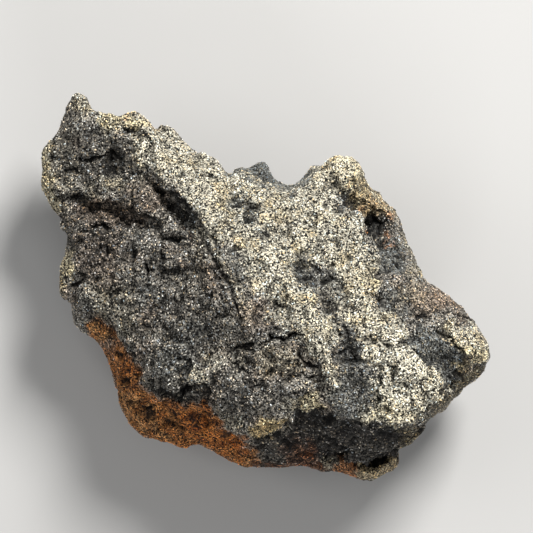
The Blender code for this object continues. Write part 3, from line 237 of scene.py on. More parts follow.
# What the surface is made of, in the same drawing: a kind of ore, how soft its border is
# in grid steps, how strongly it shows, and the area that it covers. Later ones lie over
# earlier ones. Many dark and umber areas are painted shade in hollows, grooves, cracks,
# recesses and on the underside, and some white areas are painted light.
AREAS = [
    ("silver", 6, 0.95, [
        (98, 112), (118, 117), (134, 112), (147, 119), (156, 130), (164, 124), (176, 131),
        (193, 151), (203, 152), (222, 166), (232, 171), (247, 167), (258, 174), (276, 184),
        (292, 186), (300, 179), (312, 165), (324, 160), (338, 154), (352, 157), (361, 167),
        (363, 185), (350, 197), (338, 200), (350, 207), (361, 215), (366, 228), (362, 238),
        (371, 250), (377, 262), (373, 275), (374, 290), (376, 305), (398, 314), (402, 333),
        (418, 352), (430, 368), (442, 378), (438, 395), (424, 408), (408, 424), (385, 421),
        (362, 420), (352, 417), (362, 408), (370, 400), (372, 390), (373, 375), (370, 362),
        (362, 356), (358, 345), (358, 330), (352, 322), (340, 318), (345, 308), (337, 302),
        (342, 290), (340, 276), (322, 266), (302, 260), (292, 268), (296, 282), (318, 290),
        (322, 312), (336, 320), (338, 338), (330, 344), (326, 352), (334, 362), (338, 380),
        (334, 394), (322, 375), (320, 360), (308, 352), (302, 340), (300, 325), (285, 312),
        (268, 302), (256, 290), (246, 275), (242, 262), (240, 247), (222, 240), (211, 238),
        (204, 226), (192, 208), (180, 198), (180, 182), (164, 178), (150, 166), (140, 160),
        (133, 150), (133, 138), (138, 129), (120, 128), (112, 132), (104, 130), (98, 122)]),
    ("pale", 9, 0.75, [
        (70, 94), (80, 91), (89, 98), (94, 110), (84, 114), (74, 110), (68, 104)]),
    ("gold", 4, 0.55, [(100, 114), (118, 117), (134, 112), (148, 119), (146, 126), (124, 124), (108, 128), (101, 124)]),
    # Painted shade along the crack here.
    ("dark", 1.5, 0.6, [(124, 130), (134, 128), (144, 131), (150, 137), (153, 144), (148, 143), (142, 136), (134, 133), (126, 135)]),
    ("gold", 4, 0.5, [(42, 150), (50, 142), (52, 160), (51, 180), (54, 196), (62, 214), (52, 212), (42, 190), (38, 168)]),
    ("pale", 5, 0.5, [(42, 150), (52, 142), (55, 160), (54, 180), (58, 196), (66, 214), (52, 212), (42, 190), (38, 168)]),
    ("dark", 12, 0.45, [(60, 116), (96, 120), (120, 134), (124, 156), (122, 172), (100, 180), (62, 180), (52, 150)]),
    ("gold", 4, 0.4, [(60, 252), (70, 246), (73, 258), (69, 274), (64, 296), (58, 294), (55, 264)]),
    ("gold", 5, 0.45, [(328, 158), (344, 153), (358, 160), (362, 176), (350, 192), (338, 188), (340, 174), (330, 166)]),
    # White ore, made whiter still as painted light on this flank, which faces away from the key lamp.
    ("white", 6, 0.85, [(380, 330), (396, 330), (412, 352), (432, 368), (443, 379), (440, 396), (426, 408), (408, 422), (386, 420), (374, 396), (376, 372), (366, 350)]),
    ("gold", 8, 0.30, [(382, 400), (396, 404), (410, 396), (428, 372), (442, 380), (438, 396), (424, 409), (408, 423), (384, 421), (360, 420)]),
    # More painted light on the white ore of the lower right flank.
    ("white", 5, 0.7, [(412, 366), (428, 368), (442, 379), (440, 396), (426, 408), (410, 420), (402, 400), (408, 384)]),
    ("white", 6, 0.5, [(326, 158), (338, 154), (350, 157), (358, 164), (352, 176), (338, 180), (326, 176)]),
    # Painted light: the peak's left flank made whiter over the shade of its hollow.
    ("white", 5, 0.9, [(320, 172), (334, 166), (342, 178), (340, 194), (334, 206), (322, 204)]),
    ("white", 8, 0.35, [(344, 262), (372, 268), (372, 300), (384, 318), (360, 330), (342, 306)]),
    ("brass", 5, 0.4, [(352, 262), (372, 270), (374, 290), (366, 300), (350, 280)]),
    ("gold", 4, 0.85, [(250, 424), (258, 419), (276, 420), (290, 418), (286, 426), (274, 434), (258, 438), (250, 434)]),
    ("tan", 4, 0.34, [(250, 424), (258, 419), (276, 420), (290, 418), (286, 426), (274, 434), (258, 438), (250, 434)]),
    ("gold", 3, 0.9, [(300, 398), (306, 391), (316, 392), (321, 400), (314, 407), (302, 408)]),
    ("white", 3, 0.4, [(300, 398), (306, 391), (316, 392), (321, 400), (314, 407), (302, 408)]),
    ("silver", 3, 0.6, [(282, 400), (296, 397), (300, 406), (288, 411)]),
    ("silver", 4, 0.7, [(186, 372), (196, 366), (206, 372), (206, 384), (194, 384), (186, 380)]),
    ("silver", 4, 0.6, [(198, 352), (212, 349), (222, 358), (214, 367), (202, 364)]),
    ("pale", 4, 0.6, [(118, 326), (128, 324), (128, 336), (119, 338)]),
    ("pale", 4, 0.6, [(222, 418), (238, 415), (244, 424), (234, 430), (224, 426)]),
    ("pale", 5, 0.7, [(104, 178), (118, 173), (128, 178), (122, 190), (108, 190)]),
    ("pale", 4, 0.5, [(84, 182), (98, 180), (100, 196), (86, 200)]),
    ("pale", 5, 0.6, [(194, 230), (206, 227), (209, 238), (198, 241)]),
    ("slate", 5, 0.5, [(205, 241), (222, 241), (240, 247), (244, 262), (248, 278), (240, 284), (228, 268), (216, 256)]),
    ("slate", 5, 0.75, [(224, 204), (240, 199), (258, 203), (266, 212), (258, 222), (240, 222), (230, 214)]),
    ("slate", 5, 0.6, [(256, 226), (272, 228), (276, 238), (262, 250), (258, 240)]),
    ("slate", 6, 0.6, [(294, 262), (312, 262), (330, 272), (346, 278), (344, 294), (338, 306), (342, 318), (324, 318),
                       (320, 300), (300, 290), (292, 276)]),
    ("slate", 5, 0.75, [(380, 294), (402, 298), (416, 306), (404, 316), (384, 310)]),
    ("slate", 3, 0.75, [(342, 320), (356, 320), (358, 342), (360, 358), (368, 364), (373, 382), (368, 402), (356, 416),
                        (340, 412), (330, 398), (338, 380), (338, 362), (336, 350), (344, 340)]),
    # Painted shade in the valley beside the bright rib.
    ("dark", 5, 0.36, [(342, 334), (348, 326), (354, 342), (358, 362), (368, 370), (369, 392), (360, 406), (346, 402), (338, 380)]),
    # More painted light on the white ore of the lower right flank.
    ("white", 5, 0.5, [(375, 350), (392, 346), (404, 360), (408, 384), (398, 400), (380, 400), (376, 380)]),
    ("slate", 3, 0.9, [(402, 336), (420, 326), (436, 330), (450, 342), (462, 356), (464, 372), (458, 388), (444, 386),
                       (436, 370), (424, 356), (412, 348)]),
    ("silver", 4, 0.9, [(440, 326), (456, 322), (472, 322), (482, 334), (488, 346), (486, 360), (472, 362), (460, 350), (448, 340)]),
    ("gold", 4, 0.5, [(450, 340), (466, 342), (488, 350), (482, 362), (468, 360), (456, 348)]),
    ("brass", 3, 0.6, [(454, 364), (464, 361), (468, 367), (458, 371)]),
    ("tan", 7, 0.22, [(404, 290), (420, 288), (444, 292), (456, 304), (436, 308), (416, 310)]),
    ("brown", 6, 0.5, [(400, 288), (420, 286), (446, 290), (462, 304), (456, 312), (436, 310), (416, 312), (404, 304)]),
    ("brown", 8, 0.7, [(258, 348), (276, 344), (300, 350), (304, 366), (288, 376), (266, 374), (256, 362)]),
    ("pale", 7, 0.65, [(258, 348), (276, 344), (300, 350), (304, 366), (288, 376), (266, 374), (256, 362)]),
    ("brown", 8, 0.35, [(124, 184), (146, 180), (162, 192), (166, 210), (146, 212), (128, 204)]),
    ("brown", 7, 0.7, [(74, 200), (96, 200), (120, 208), (146, 216), (150, 226), (120, 224), (90, 224), (74, 214)]),
    ("clay", 6, 0.2, [(76, 199), (98, 199), (122, 205), (128, 210), (118, 212), (100, 209), (80, 207)]),
    ("umber_and_painted_shade", 9, 0.42, [(80, 212), (104, 214), (130, 222), (134, 244), (120, 262), (98, 262), (84, 244)]),
    ("dark", 9, 0.20, [(130, 236), (176, 238), (180, 262), (164, 284), (134, 280)]),
    ("dark", 9, 0.20, [(132, 332), (170, 328), (206, 334), (206, 356), (170, 360), (134, 354)]),
    ("brown", 9, 0.40, [(74, 232), (112, 232), (118, 284), (78, 286)]),
    ("dark", 6, 0.44, [(80, 210), (108, 212), (114, 236), (92, 242)]),
    ("pale", 9, 0.40, [(84, 284), (130, 284), (134, 326), (96, 318)]),
    ("dark", 7, 0.32, [(60, 214), (84, 214), (112, 238), (108, 262), (84, 260), (70, 240)]),
    ("dark", 8, 0.26, [(178, 304), (206, 304), (208, 334), (180, 334)]),
    ("dark", 8, 0.18, [(154, 284), (182, 284), (182, 308), (158, 308)]),
    # Painted shadow along the crack.
    ("dark", 6, 0.25, [(274, 332), (298, 332), (298, 346), (276, 345)]),
    # Painted shade at the lower end of the groove beside the main ridge.
    ("dark", 5, 0.26, [(204, 214), (221, 216), (225, 236), (208, 234)]),
    ("silver", 4, 0.5, [(132, 140), (150, 140), (154, 156), (146, 166), (134, 160)]),
    ("silver", 9, 0.30, [(322, 284), (350, 282), (372, 286), (372, 308), (348, 312), (324, 308)]),
    ("pale", 8, 0.35, [(394, 284), (420, 284), (422, 306), (396, 306)]),
    ("silver", 8, 0.60, [(300, 334), (322, 334), (324, 356), (302, 356)]),
    ("dark", 8, 0.85, [(226, 382), (250, 382), (254, 404), (230, 406)]),
    ("silver", 8, 0.5, [(274, 286), (300, 290), (304, 326), (286, 334), (274, 316)]),
    ("brown", 7, 0.4, [(200, 258), (213, 262), (221, 280), (223, 296), (208, 292), (200, 276)]),
    ("pale", 3, 0.45, [(207, 241), (216, 246), (226, 262), (238, 284), (250, 304), (256, 326), (248, 330), (240, 308), (230, 288), (220, 266)]),
    ("brown", 8, 0.4, [(240, 300), (262, 312), (280, 326), (262, 332), (248, 330), (240, 314)]),
    # Painted shadow along the step below the main ridge.
    ("dark", 2, 0.22, [(205, 243), (209, 246), (219, 264), (232, 290), (241, 314), (246, 332), (242, 332), (234, 310), (224, 288), (213, 266)]),
    ("umber_and_painted_shade", 4, 0.4, [(342, 190), (356, 188), (366, 194), (364, 202), (352, 202), (342, 198)]),
    ("brown", 5, 0.35, [(358, 190), (370, 184), (380, 190), (392, 202), (402, 214), (390, 222), (380, 218), (364, 214), (358, 206)]),
    ("brass", 5, 0.5, [(354, 180), (366, 178), (380, 190), (392, 204), (398, 216), (384, 216), (366, 212), (356, 200)]),
    ("tan", 4, 0.35, [(362, 198), (374, 195), (384, 203), (380, 212), (366, 212)]),
    ("pale", 4, 0.6, [(368, 190), (378, 191), (384, 200), (376, 202)]),
    ("grey", 6, 0.6, [(384, 212), (400, 214), (410, 234), (416, 250), (402, 246), (390, 232)]),
    ("steel", 3, 0.6, [(338, 196), (348, 199), (359, 207), (367, 219), (361, 222), (351, 214), (339, 208)]),
    ("slate", 6, 0.95, [(376, 242), (392, 236), (404, 246), (408, 262), (402, 274), (388, 274), (378, 264)]),
    # Painted shade on the low ground beside the cliff of the bright face.
    ("dark", 6, 0.22, [(374, 240), (392, 238), (402, 250), (402, 270), (388, 278), (376, 268)]),
    # Painted shadow in the recess under the bump of the peak.
    ("dark", 4, 0.7, [(361, 220), (372, 217), (385, 218), (389, 230), (386, 242), (374, 246), (366, 238)]),
    ("rust", 2, 0.7, [(367, 232), (371, 230), (374, 234), (370, 237)]),
    ("rust", 2, 0.45, [(381, 234), (386, 233), (388, 237), (384, 239)]),
    ("rust", 2, 0.45, [(387, 245), (392, 244), (393, 249), (388, 251)]),
    ("rust", 2, 0.4, [(385, 214), (391, 213), (392, 219), (387, 221)]),
    ("rust", 2, 0.6, [(345, 181), (350, 180), (351, 186), (346, 187)]),
    ("rust", 2, 0.5, [(360, 203), (365, 202), (366, 207), (361, 208)]),
    ("rust", 2, 0.3, [(185, 230), (189, 230), (189, 234), (185, 234)]),
    ("rust", 2, 0.6, [(119, 119), (125, 119), (126, 125), (121, 126)]),
    ("pale", 3, 0.8, [(402, 232), (408, 234), (410, 246), (404, 246)]),
    ("pale", 4, 0.8, [(408, 262), (418, 264), (425, 272), (418, 279), (410, 274)]),
    ("slate", 2, 0.95, [(222, 176), (232, 164), (250, 160), (262, 152), (274, 156), (282, 174), (290, 180), (298, 178),
                        (305, 170), (313, 174), (304, 189), (288, 194), (274, 189), (262, 182), (250, 179), (240, 175), (230, 178)]),
    # Painted shadow in the upper hollow, under its lip.
    ("dark", 3, 0.5, [(84, 157), (98, 154), (110, 153), (120, 159), (121, 169), (112, 174), (104, 172), (98, 162)]),
    # Painted shade in the groove beside the main ridge.
    ("dark", 3, 0.34, [(160, 184), (170, 188), (184, 200), (197, 210), (207, 222), (218, 233), (217, 241), (208, 236), (198, 227), (186, 217), (174, 205), (164, 194)]),
    ("silver", 2, 0.5, [(196, 228), (203, 226), (206, 233), (200, 237)]),
    # Painted shadow in the recess under the left ledge.
    ("dark", 6, 0.12, [(78, 200), (100, 199), (124, 204), (148, 214), (150, 221), (126, 217), (100, 210), (80, 207)]),
    # Painted shadow in the recess under the lumps, over the rust.
    ("dark", 5, 0.6, [(152, 384), (162, 380), (178, 390), (196, 388), (210, 392), (206, 400), (184, 401), (164, 400)]),
    # The underside band, which faces down: dark umber ore, and painted shade.
    ("umber_and_painted_shade", 1.5, 0.95, [(256, 442), (262, 440), (275, 437), (288, 431), (294, 420), (299, 412), (315, 413), (330, 413.5),
                          (342, 416.5), (355, 421), (368, 423), (400, 426), (424, 428), (418, 440), (404, 446),
                          (400, 462), (384, 464), (360, 466), (330, 462), (300, 462), (262, 462)]),
    ("grey", 4, 0.40, [(256, 444), (276, 442), (300, 446), (300, 456), (276, 458), (262, 456)]),
    ("grey", 4, 0.30, [(346, 440), (366, 440), (384, 440), (390, 450), (372, 458), (352, 454)]),
    # Painted shade under the crease over the underside.
    ("dark", 2, 0.8, [(297, 411), (315, 412.5), (330, 413.5), (342, 416.5), (356, 421.5), (370, 424), (404, 426.5), (424, 424),
                      (414, 434), (390, 432), (364, 429), (342, 424), (325, 420), (300, 420)]),
    # Painted shadow in the recess under the plate.
    ("dark", 4, 0.6, [(314, 450), (330, 448), (348, 452), (344, 460), (326, 459)]),
    ("grey", 5, 0.25, [(304, 424), (324, 424), (340, 434), (330, 440), (314, 436)]),
    ("rustdark", 5, 0.7, [(282, 444), (316, 444), (318, 458), (286, 460)]),
    ("rust", 4, 0.95, [
        (90, 322), (98, 318), (108, 326), (118, 340), (124, 352), (134, 362), (142, 380), (150, 390), (162, 398),
        (178, 402), (200, 404), (216, 416), (222, 428), (240, 440), (252, 450), (258, 462), (256, 470), (236, 470),
        (216, 458), (200, 446), (180, 450), (162, 444), (140, 440), (124, 420), (114, 400), (112, 384), (108, 362),
        (96, 342), (88, 332)]),
    ("tan", 4, 0.7, [(92, 324), (100, 322), (110, 332), (108, 340), (98, 338)]),
    ("grey", 4, 0.65, [(102, 340), (110, 338), (116, 346), (113, 355), (105, 350)]),
    ("tan", 6, 0.5, [(118, 388), (136, 388), (150, 404), (160, 420), (166, 438), (150, 440), (130, 424), (118, 406)]),
    ("rustdark", 5, 0.2, [(114, 362), (132, 360), (142, 378), (130, 384), (116, 376)]),
    ("rustdark", 9, 0.4, [(190, 412), (208, 418), (226, 434), (246, 448), (240, 458), (214, 446), (196, 432)]),
    ("orange", 8, 0.45, [(176, 406), (206, 412), (228, 432), (248, 446), (240, 456), (214, 444), (186, 430)]),
    ("tan", 5, 0.5, [(236, 452), (252, 456), (256, 468), (240, 470)]),
    ("rustdark", 3, 0.9, [(250, 460), (290, 462), (320, 462), (336, 468), (326, 474), (290, 470), (252, 471)]),
    ("rust", 4, 0.7, [(334, 462), (352, 462), (358, 478), (344, 478), (334, 470)]),
    ("pale", 3, 0.9, [(321, 459), (331, 461), (333, 470), (323, 470)]),
    ("gold", 4, 0.42, [(356, 466), (372, 464), (392, 456), (400, 462), (398, 474), (376, 484), (360, 482)]),
    ("tan", 4, 0.22, [(356, 466), (372, 464), (392, 456), (400, 462), (398, 474), (376, 484), (360, 482)]),
    # Umber ore and painted shade on the lower right flank, which faces down and away from the light.
    ("umber_and_painted_shade", 5, 0.7, [(456, 372), (488, 362), (486, 372), (462, 388), (448, 402), (428, 414), (420, 422), (426, 408), (440, 396), (450, 386)]),
    ("brass", 4, 0.28, [(458, 372), (488, 366), (484, 374), (464, 390), (448, 404), (430, 418), (426, 424), (430, 412), (444, 398), (452, 386)]),
    ("brass", 3, 0.22, [(400, 430), (418, 425), (424, 434), (414, 446), (402, 446)]),
]

# Cracks, gaps and pits cut into the surface: depth in mm, half width in grid steps, the line.
CUTS = [
    (0.35, 1.5, [(205, 243), (213, 256), (222, 272), (232, 292), (240, 312), (246, 330)]),
    (0.8, 1.8, [(80, 158), (90, 158), (98, 155), (106, 153), (114, 156), (120, 160)]),
    (1.4, 2.3, [(124, 132), (132, 130), (140, 131), (145, 136), (151, 143)]),
    (1.3, 2.8, [(143, 133), (148, 139), (151, 146)]),
    (0.5, 1.3, [(68, 194), (77, 195), (83, 192)]),
    (0.7, 2.0, [(163, 188), (172, 196), (184, 208), (196, 219), (208, 231), (216, 240)]),
    (0.5, 2.0, [(130, 211), (140, 214), (149, 219), (157, 221)]),
    (0.8, 2.2, [(200, 224), (207, 233), (215, 236)]),
    (0.6, 1.8, [(105, 296), (109, 290), (112, 286)]),
    (0.5, 1.8, [(96, 250), (104, 246), (108, 254)]),
    (0.6, 2.0, [(66, 170), (74, 168), (80, 172)]),
    (1.4, 2.0, [(146, 264), (147.5, 268), (147, 274)]),
    (0.8, 2.2, [(93, 226), (102, 223), (110, 226)]),
    (0.8, 2.4, [(104, 246), (108, 254)]),
    (0.8, 2.0, [(163, 240), (170, 238), (178, 240)]),
    (0.7, 2.2, [(163, 252), (166, 262)]),
    (1.0, 1.6, [(232, 347), (245, 346), (254, 348)]), (1.1, 1.8, [(264, 341), (272, 336), (283, 337), (292, 333), (300, 334)]),
    (1.0, 2.0, [(242, 343), (252, 344)]),
    (1.0, 1.3, [(418, 313), (428, 312), (436, 310), (444, 314), (452, 316), (460, 314), (472, 320)]),
    (1.0, 2.0, [(436, 330), (442, 331), (447, 334)]),
    (0.8, 1.4, [(448, 338), (455, 345), (463, 353)]),
    (0.5, 1.4, [(360, 338), (367, 337), (376, 340), (384, 344), (391, 346)]),
    (0.8, 2.4, [(398, 340), (406, 341)]),
    (0.5, 3.2, [(343, 326), (348, 334), (347, 342), (353, 350)]),
    (0.8, 1.8, [(338, 352), (346, 346), (352, 356)]),
    (0.6, 1.5, [(392, 390), (398, 388)]), (0.6, 1.5, [(402, 384), (406, 388)]), (0.5, 1.6, [(421, 389), (428, 390)]),
    (0.6, 1.8, [(384, 407), (390, 409)]), (0.5, 1.5, [(409, 399), (413, 400)]),
    (2.0, 5.2, [(123, 381), (129, 380)]),
    (2.0, 3.8, [(130, 402), (136, 404), (142, 409), (149, 410)]),
    (1.0, 3.0, [(147, 413), (154, 415)]),
    (0.8, 1.8, [(172, 416), (177, 420)]), (0.8, 1.8, [(196, 424), (200, 427)]), (0.8, 1.8, [(158, 431), (163, 430)]),
    (0.8, 1.8, [(212, 437), (216, 440)]), (0.7, 1.8, [(116, 352), (120, 357)]),
    (1.8, 3.6, [(316, 452), (326, 455), (337, 456), (345, 453)]),
    (1.0, 2.0, [(347, 461), (360, 464), (374, 463), (388, 458)]),
    (0.6, 1.8, [(297, 266), (303, 268)]), (0.4, 1.8, [(303, 277), (309, 278)]),
    (0.7, 2.2, [(328, 264), (333, 264)]), (0.7, 2.4, [(282, 246), (287, 247)]),
    (0.6, 2.6, [(264, 231), (267, 235)]), (0.8, 3.2, [(275, 303), (280, 306)]),
    (0.7, 3.0, [(233, 206), (240, 208)]), (0.7, 3.0, [(250, 207), (258, 206)]), (0.6, 2.4, [(244, 218), (250, 219)]),
    (0.7, 2.8, [(322, 281), (330, 279), (338, 282)]), (0.6, 2.4, [(322, 298), (327, 300)]),
    (0.6, 2.0, [(346, 252), (350, 256)]), (0.6, 2.0, [(304, 222), (308, 226)]),
    (0.6, 1.6, [(228, 250), (236, 246), (240, 250)]),
    (1.0, 2.4, [(148, 380), (154, 388), (162, 390), (166, 392), (180, 394), (190, 388), (202, 386), (208, 394)]),
    (0.8, 1.6, [(150, 374), (158, 378), (160, 386)]),
    (0.8, 1.6, [(180, 380), (184, 386), (186, 394)]),
    (0.9, 1.8, [(206, 384), (210, 392), (214, 402)]),
    (0.7, 1.6, [(232, 362), (238, 368), (246, 372)]),
    (0.7, 1.8, [(118, 356), (126, 352), (134, 356)]),
    (0.6, 1.6, [(302, 372), (308, 378), (318, 374)]),
    (0.8, 2.0, [(298, 352), (304, 360), (312, 366)]),
    (0.7, 1.8, [(222, 434), (232, 436), (240, 441)]),
    (0.8, 2.0, [(256, 440), (270, 439), (284, 434), (292, 430)]),
    (1.0, 2.2, [(340, 456), (352, 462), (364, 462), (378, 457), (390, 453), (402, 449)]),
    (0.7, 2.4, [(300, 424), (318, 431), (332, 440), (344, 452)]), (0.7, 2.2, [(376, 430), (392, 437), (404, 438)]),
    (0.6, 2.0, [(282, 444), (300, 447), (314, 452)]),
    (0.6, 1.8, [(446, 372), (452, 380)]), (0.7, 2.2, [(456, 372), (462, 378)]),
    (0.8, 3.4, [(366, 222), (370, 228), (374, 234)]), (0.6, 3.0, [(376, 222), (382, 226), (380, 232)]),
    (0.8, 1.6, [(392, 262), (397, 266)]), (0.7, 1.2, [(396, 300), (402, 300)]),
    (0.4, 1.6, [(356, 336), (364, 338), (372, 338)]), (0.8, 1.6, [(396, 344), (404, 346)]),
    (0.6, 1.8, [(454, 374), (462, 376)]), (0.6, 1.4, [(380, 296), (388, 298)]),
    (0.5, 1.4, [(337, 190), (340, 198)]), (0.5, 1.6, [(186, 165), (194, 172), (200, 174)]),
    (0.5, 1.4, [(300, 310), (306, 320)]), (0.5, 1.4, [(286, 220), (292, 224)]),
]

# Straight ribs along the step below the main ridge, left by the grain of the ore.
RIBS = ((205, 240), (262, 345), 13)


def hashed(cell, seed):
    """Three even numbers in 0..1 for each whole-number cell."""
    c = cell.astype(np.int64).astype(np.uint32)
    h = c[..., 0] * np.uint32(374761393) + c[..., 1] * np.uint32(668265263) + c[..., 2] * np.uint32(1440662683)
    h = h + np.uint32((seed * 97 + 11) * 1274126177 & 0xFFFFFFFF)
    h = (h ^ (h >> np.uint32(15))) * np.uint32(2246822519)
    h = (h ^ (h >> np.uint32(13))) * np.uint32(3266489917)
    h = h ^ (h >> np.uint32(16))
    parts = [(h >> np.uint32(k)) & np.uint32(1023) for k in (0, 10, 20)]
    return np.stack(parts, -1).astype(np.float32) / np.float32(1023)


def waves(p, size, seed=0):
    """Smooth random waves of about this size, from -1 to 1."""
    q = p / size
    base = np.floor(q)
    f = (q - base).astype(np.float32)
    s = f * f * f * (f * (f * 6 - 15) + 10)
    away = (f, f - 1)
    share = (1 - s, s)
    total = np.zeros(len(q), np.float32)
    for dx in (0, 1):
        for dy in (0, 1):
            for dz in (0, 1):
                g = hashed(base + np.array((dx, dy, dz), float), seed) * 2 - 1
                w = share[dx][:, 0] * share[dy][:, 1] * share[dz][:, 2]
                total += w * (away[dx][:, 0] * g[:, 0] + away[dy][:, 1] * g[:, 1] + away[dz][:, 2] * g[:, 2])
    return np.clip(total * 1.6, -1, 1).astype(float)


def layered(p, size, layers, fall=0.5, seed=0):
    """Waves on waves, each half the size of the last."""
    return sum(fall**k * waves(p, size / 2**k, seed + k) for k in range(layers))


def chips(p, size, seed=0):
    """Broken facets: the height of a tilted plane in each irregular cell, how far in the
    cell's edge is, and a number for the cell."""
    q = p / size
    base = np.floor(q)
    near = np.full(len(p), 9.0)
    second = np.full(len(p), 9.0)
    at = np.zeros_like(q)
    cell = np.zeros_like(q)
    for dx in (-1, 0, 1):
        for dy in (-1, 0, 1):
            for dz in (-1, 0, 1):
                c = base + np.array((dx, dy, dz), float)
                spot = c + 0.15 + 0.7 * hashed(c, seed)
                d = np.linalg.norm(q - spot, axis=-1)
                closer = d < near
                second = np.where(closer, near, np.minimum(second, d))
                at[closer], cell[closer] = spot[closer], c[closer]
                near = np.where(closer, d, near)
    lean = hashed(cell, seed + 50) * 2 - 1
    return ((q - at) * lean).sum(-1), second - near, hashed(cell, seed + 90)


def inside(points, loop):
    """Whether each point is in the closed loop."""
    x, y = points[:, 0], points[:, 1]
    found = np.zeros(len(points), bool)
    for (x0, y0), (x1, y1) in zip(loop, np.roll(loop, -1, 0)):
        if y0 == y1:
            continue
        over = (y0 > y) != (y1 > y)
        found ^= over & (x < (x1 - x0) * (y - y0) / (y1 - y0) + x0)
    return found


def to_line(points, line, closed=False, reach=None):
    """Distance from each point to a line of points, in the grid; beyond reach it may be more."""
    line = np.asarray(line, float)[:, :2]
    if closed:
        line = np.vstack([line, line[:1]])
    best = np.full(len(points), 1e9)
    if len(line) == 1:
        return np.linalg.norm(points - line[0], axis=1)
    for a, b in zip(line, line[1:]):
        near = slice(None)
        if reach is not None:
            low, high = np.minimum(a, b) - reach, np.maximum(a, b) + reach
            near = np.flatnonzero(
                (points[:, 0] > low[0]) & (points[:, 0] < high[0]) & (points[:, 1] > low[1]) & (points[:, 1] < high[1])
            )
        q = points[near]
        d = b - a
        t = np.clip(((q - a) @ d) / max(d @ d, 1e-9), 0, 1)
        best[near] = np.minimum(best[near], np.hypot(q[:, 0] - a[0] - t * d[0], q[:, 1] - a[1] - t * d[1]))
    return best


def inset(loop, step):
    """The closed loop moved in by step; it turns the way the outline is listed."""
    before, after = np.roll(loop, 1, 0), np.roll(loop, -1, 0)
    run = after - before
    run /= np.linalg.norm(run, axis=1)[:, None]
    inward = np.stack([-run[:, 1], run[:, 0]], 1)
    return loop + inward * step


def side(rim, ring, lines, spots, loop, down):
    """One side of the stone as triangles, from the rim inwards. Points are across, down, mm."""
    points = [tuple(r) for r in rim] + [tuple(r) for r in ring]
    n, m = len(rim), len(ring)
    edges = [(i, (i + 1) % n) for i in range(n)]
    for line in lines:
        start = len(points)
        points += [tuple(p) for p in line]
        edges += [(start + i, start + i + 1) for i in range(len(line) - 1)]
    points += [tuple(p) for p in spots]
    flat = [Vector(p[:2]) for p in points]
    found, _, faces, origin, _, _ = delaunay_2d_cdt(flat, edges, [], 0, 1e-5)
    heights = []
    for place, came in zip(found, origin):
        if came:
            heights.append(points[came[0]][2])
        else:  # where two creases cross
            d = [(Vector(p[:2]) - place).length for p in points]
            k = int(np.argmin(d))
            heights.append(points[k][2])
    xy = np.array([tuple(p) for p in found])
    middles = np.array([xy[list(f)].mean(0) for f in faces])
    keep = inside(middles, loop)
    rim_index = {}
    for k, came in enumerate(origin):
        for o in came:
            if o < n:
                rim_index[k] = o
    return xy, heights, [list(f) for f, k in zip(faces, keep) if k], rim_index


def net_mesh():
    """The closed net of the whole stone: corners in metres, and faces turned outwards."""
    rim = np.array(OUTLINE, float)
    loop = rim[:, :2]
    step, rise = EDGE_ROUND
    ring_at = inset(loop, step)
    clear = (to_line(ring_at, loop, True) > 0.75 * step) & inside(ring_at, loop)
    upper = [(x, y, z + rise) for (x, y), z, ok in zip(ring_at, rim[:, 2], clear) if ok]
    lower = [(x, y, z - rise) for (x, y), z, ok in zip(ring_at, rim[:, 2], clear) if ok]
    corners = [tuple(r) for r in rim]
    faces = []
    for ring, lines, spots, up in (
        (upper, list(FACE_LINES.values()), FACE_POINTS, True),
        (lower, [], BACK_POINTS, False),
    ):
        xy, heights, found, rim_index = side(rim, ring, lines, spots, loop, not up)
        number = {}
        for k, (place, height) in enumerate(zip(xy, heights)):
            if k in rim_index:
                number[k] = rim_index[k]
            else:
                number[k] = len(corners)
                corners.append((place[0], place[1], height))
        for f in found:
            a, b, c = (number[i] for i in f)
            (x0, y0), (x1, y1), (x2, y2) = (corners[i][:2] for i in (a, b, c))
            turn = (x1 - x0) * (y2 - y0) - (x2 - x0) * (y1 - y0)
            # the grid runs down the page, so a turn that is positive here faces down
            faces.append((a, b, c) if (turn < 0) == up else (a, c, b))
    c = np.array(corners, float)
    place = np.stack(
        [(c[:, 0] - MIDDLE[0]) * UNIT, (MIDDLE[1] - c[:, 1]) * UNIT, c[:, 2] * MM], 1
    )
    return place, faces


def mesh_object(name, points, faces):
    mesh = bpy.data.meshes.new(name)
    mesh.from_pydata([tuple(map(float, p)) for p in points], [], [tuple(map(int, f)) for f in faces])
    mesh.update()
    obj = bpy.data.objects.new(name, mesh)
    bpy.context.scene.collection.objects.link(obj)
    return obj


def even_mesh(points, faces, cell):
    """The net's surface as an even mesh of square cells: points and faces."""
    obj = mesh_object("net", points, faces)
    even = obj.modifiers.new("even", "REMESH")
    even.mode = "VOXEL"
    even.voxel_size = cell
    even.adaptivity = 0.0
    graph = bpy.context.evaluated_depsgraph_get()
    mesh = bpy.data.meshes.new_from_object(obj.evaluated_get(graph))
    p = np.empty(len(mesh.vertices) * 3, np.float32)
    mesh.vertices.foreach_get("co", p)
    found = np.empty(len(mesh.loops), np.int32)
    mesh.loops.foreach_get("vertex_index", found)
    corners = [len(f.vertices) for f in mesh.polygons]
    bpy.data.objects.remove(obj)
    bpy.data.meshes.remove(mesh)
    if set(corners) != {4}:
        raise ValueError("the even mesh has faces that are not square")
    return p.reshape(-1, 3).astype(np.float64), found.reshape(-1, 4)


def normals_of(points, quads):
    a, b, c, d = (points[quads[:, k]] for k in range(4))
    face = np.cross(c - a, d - b)
    total = np.zeros_like(points)
    for k in range(4):
        np.add.at(total, quads[:, k], face)
    return total / np.maximum(np.linalg.norm(total, axis=1), 1e-20)[:, None]


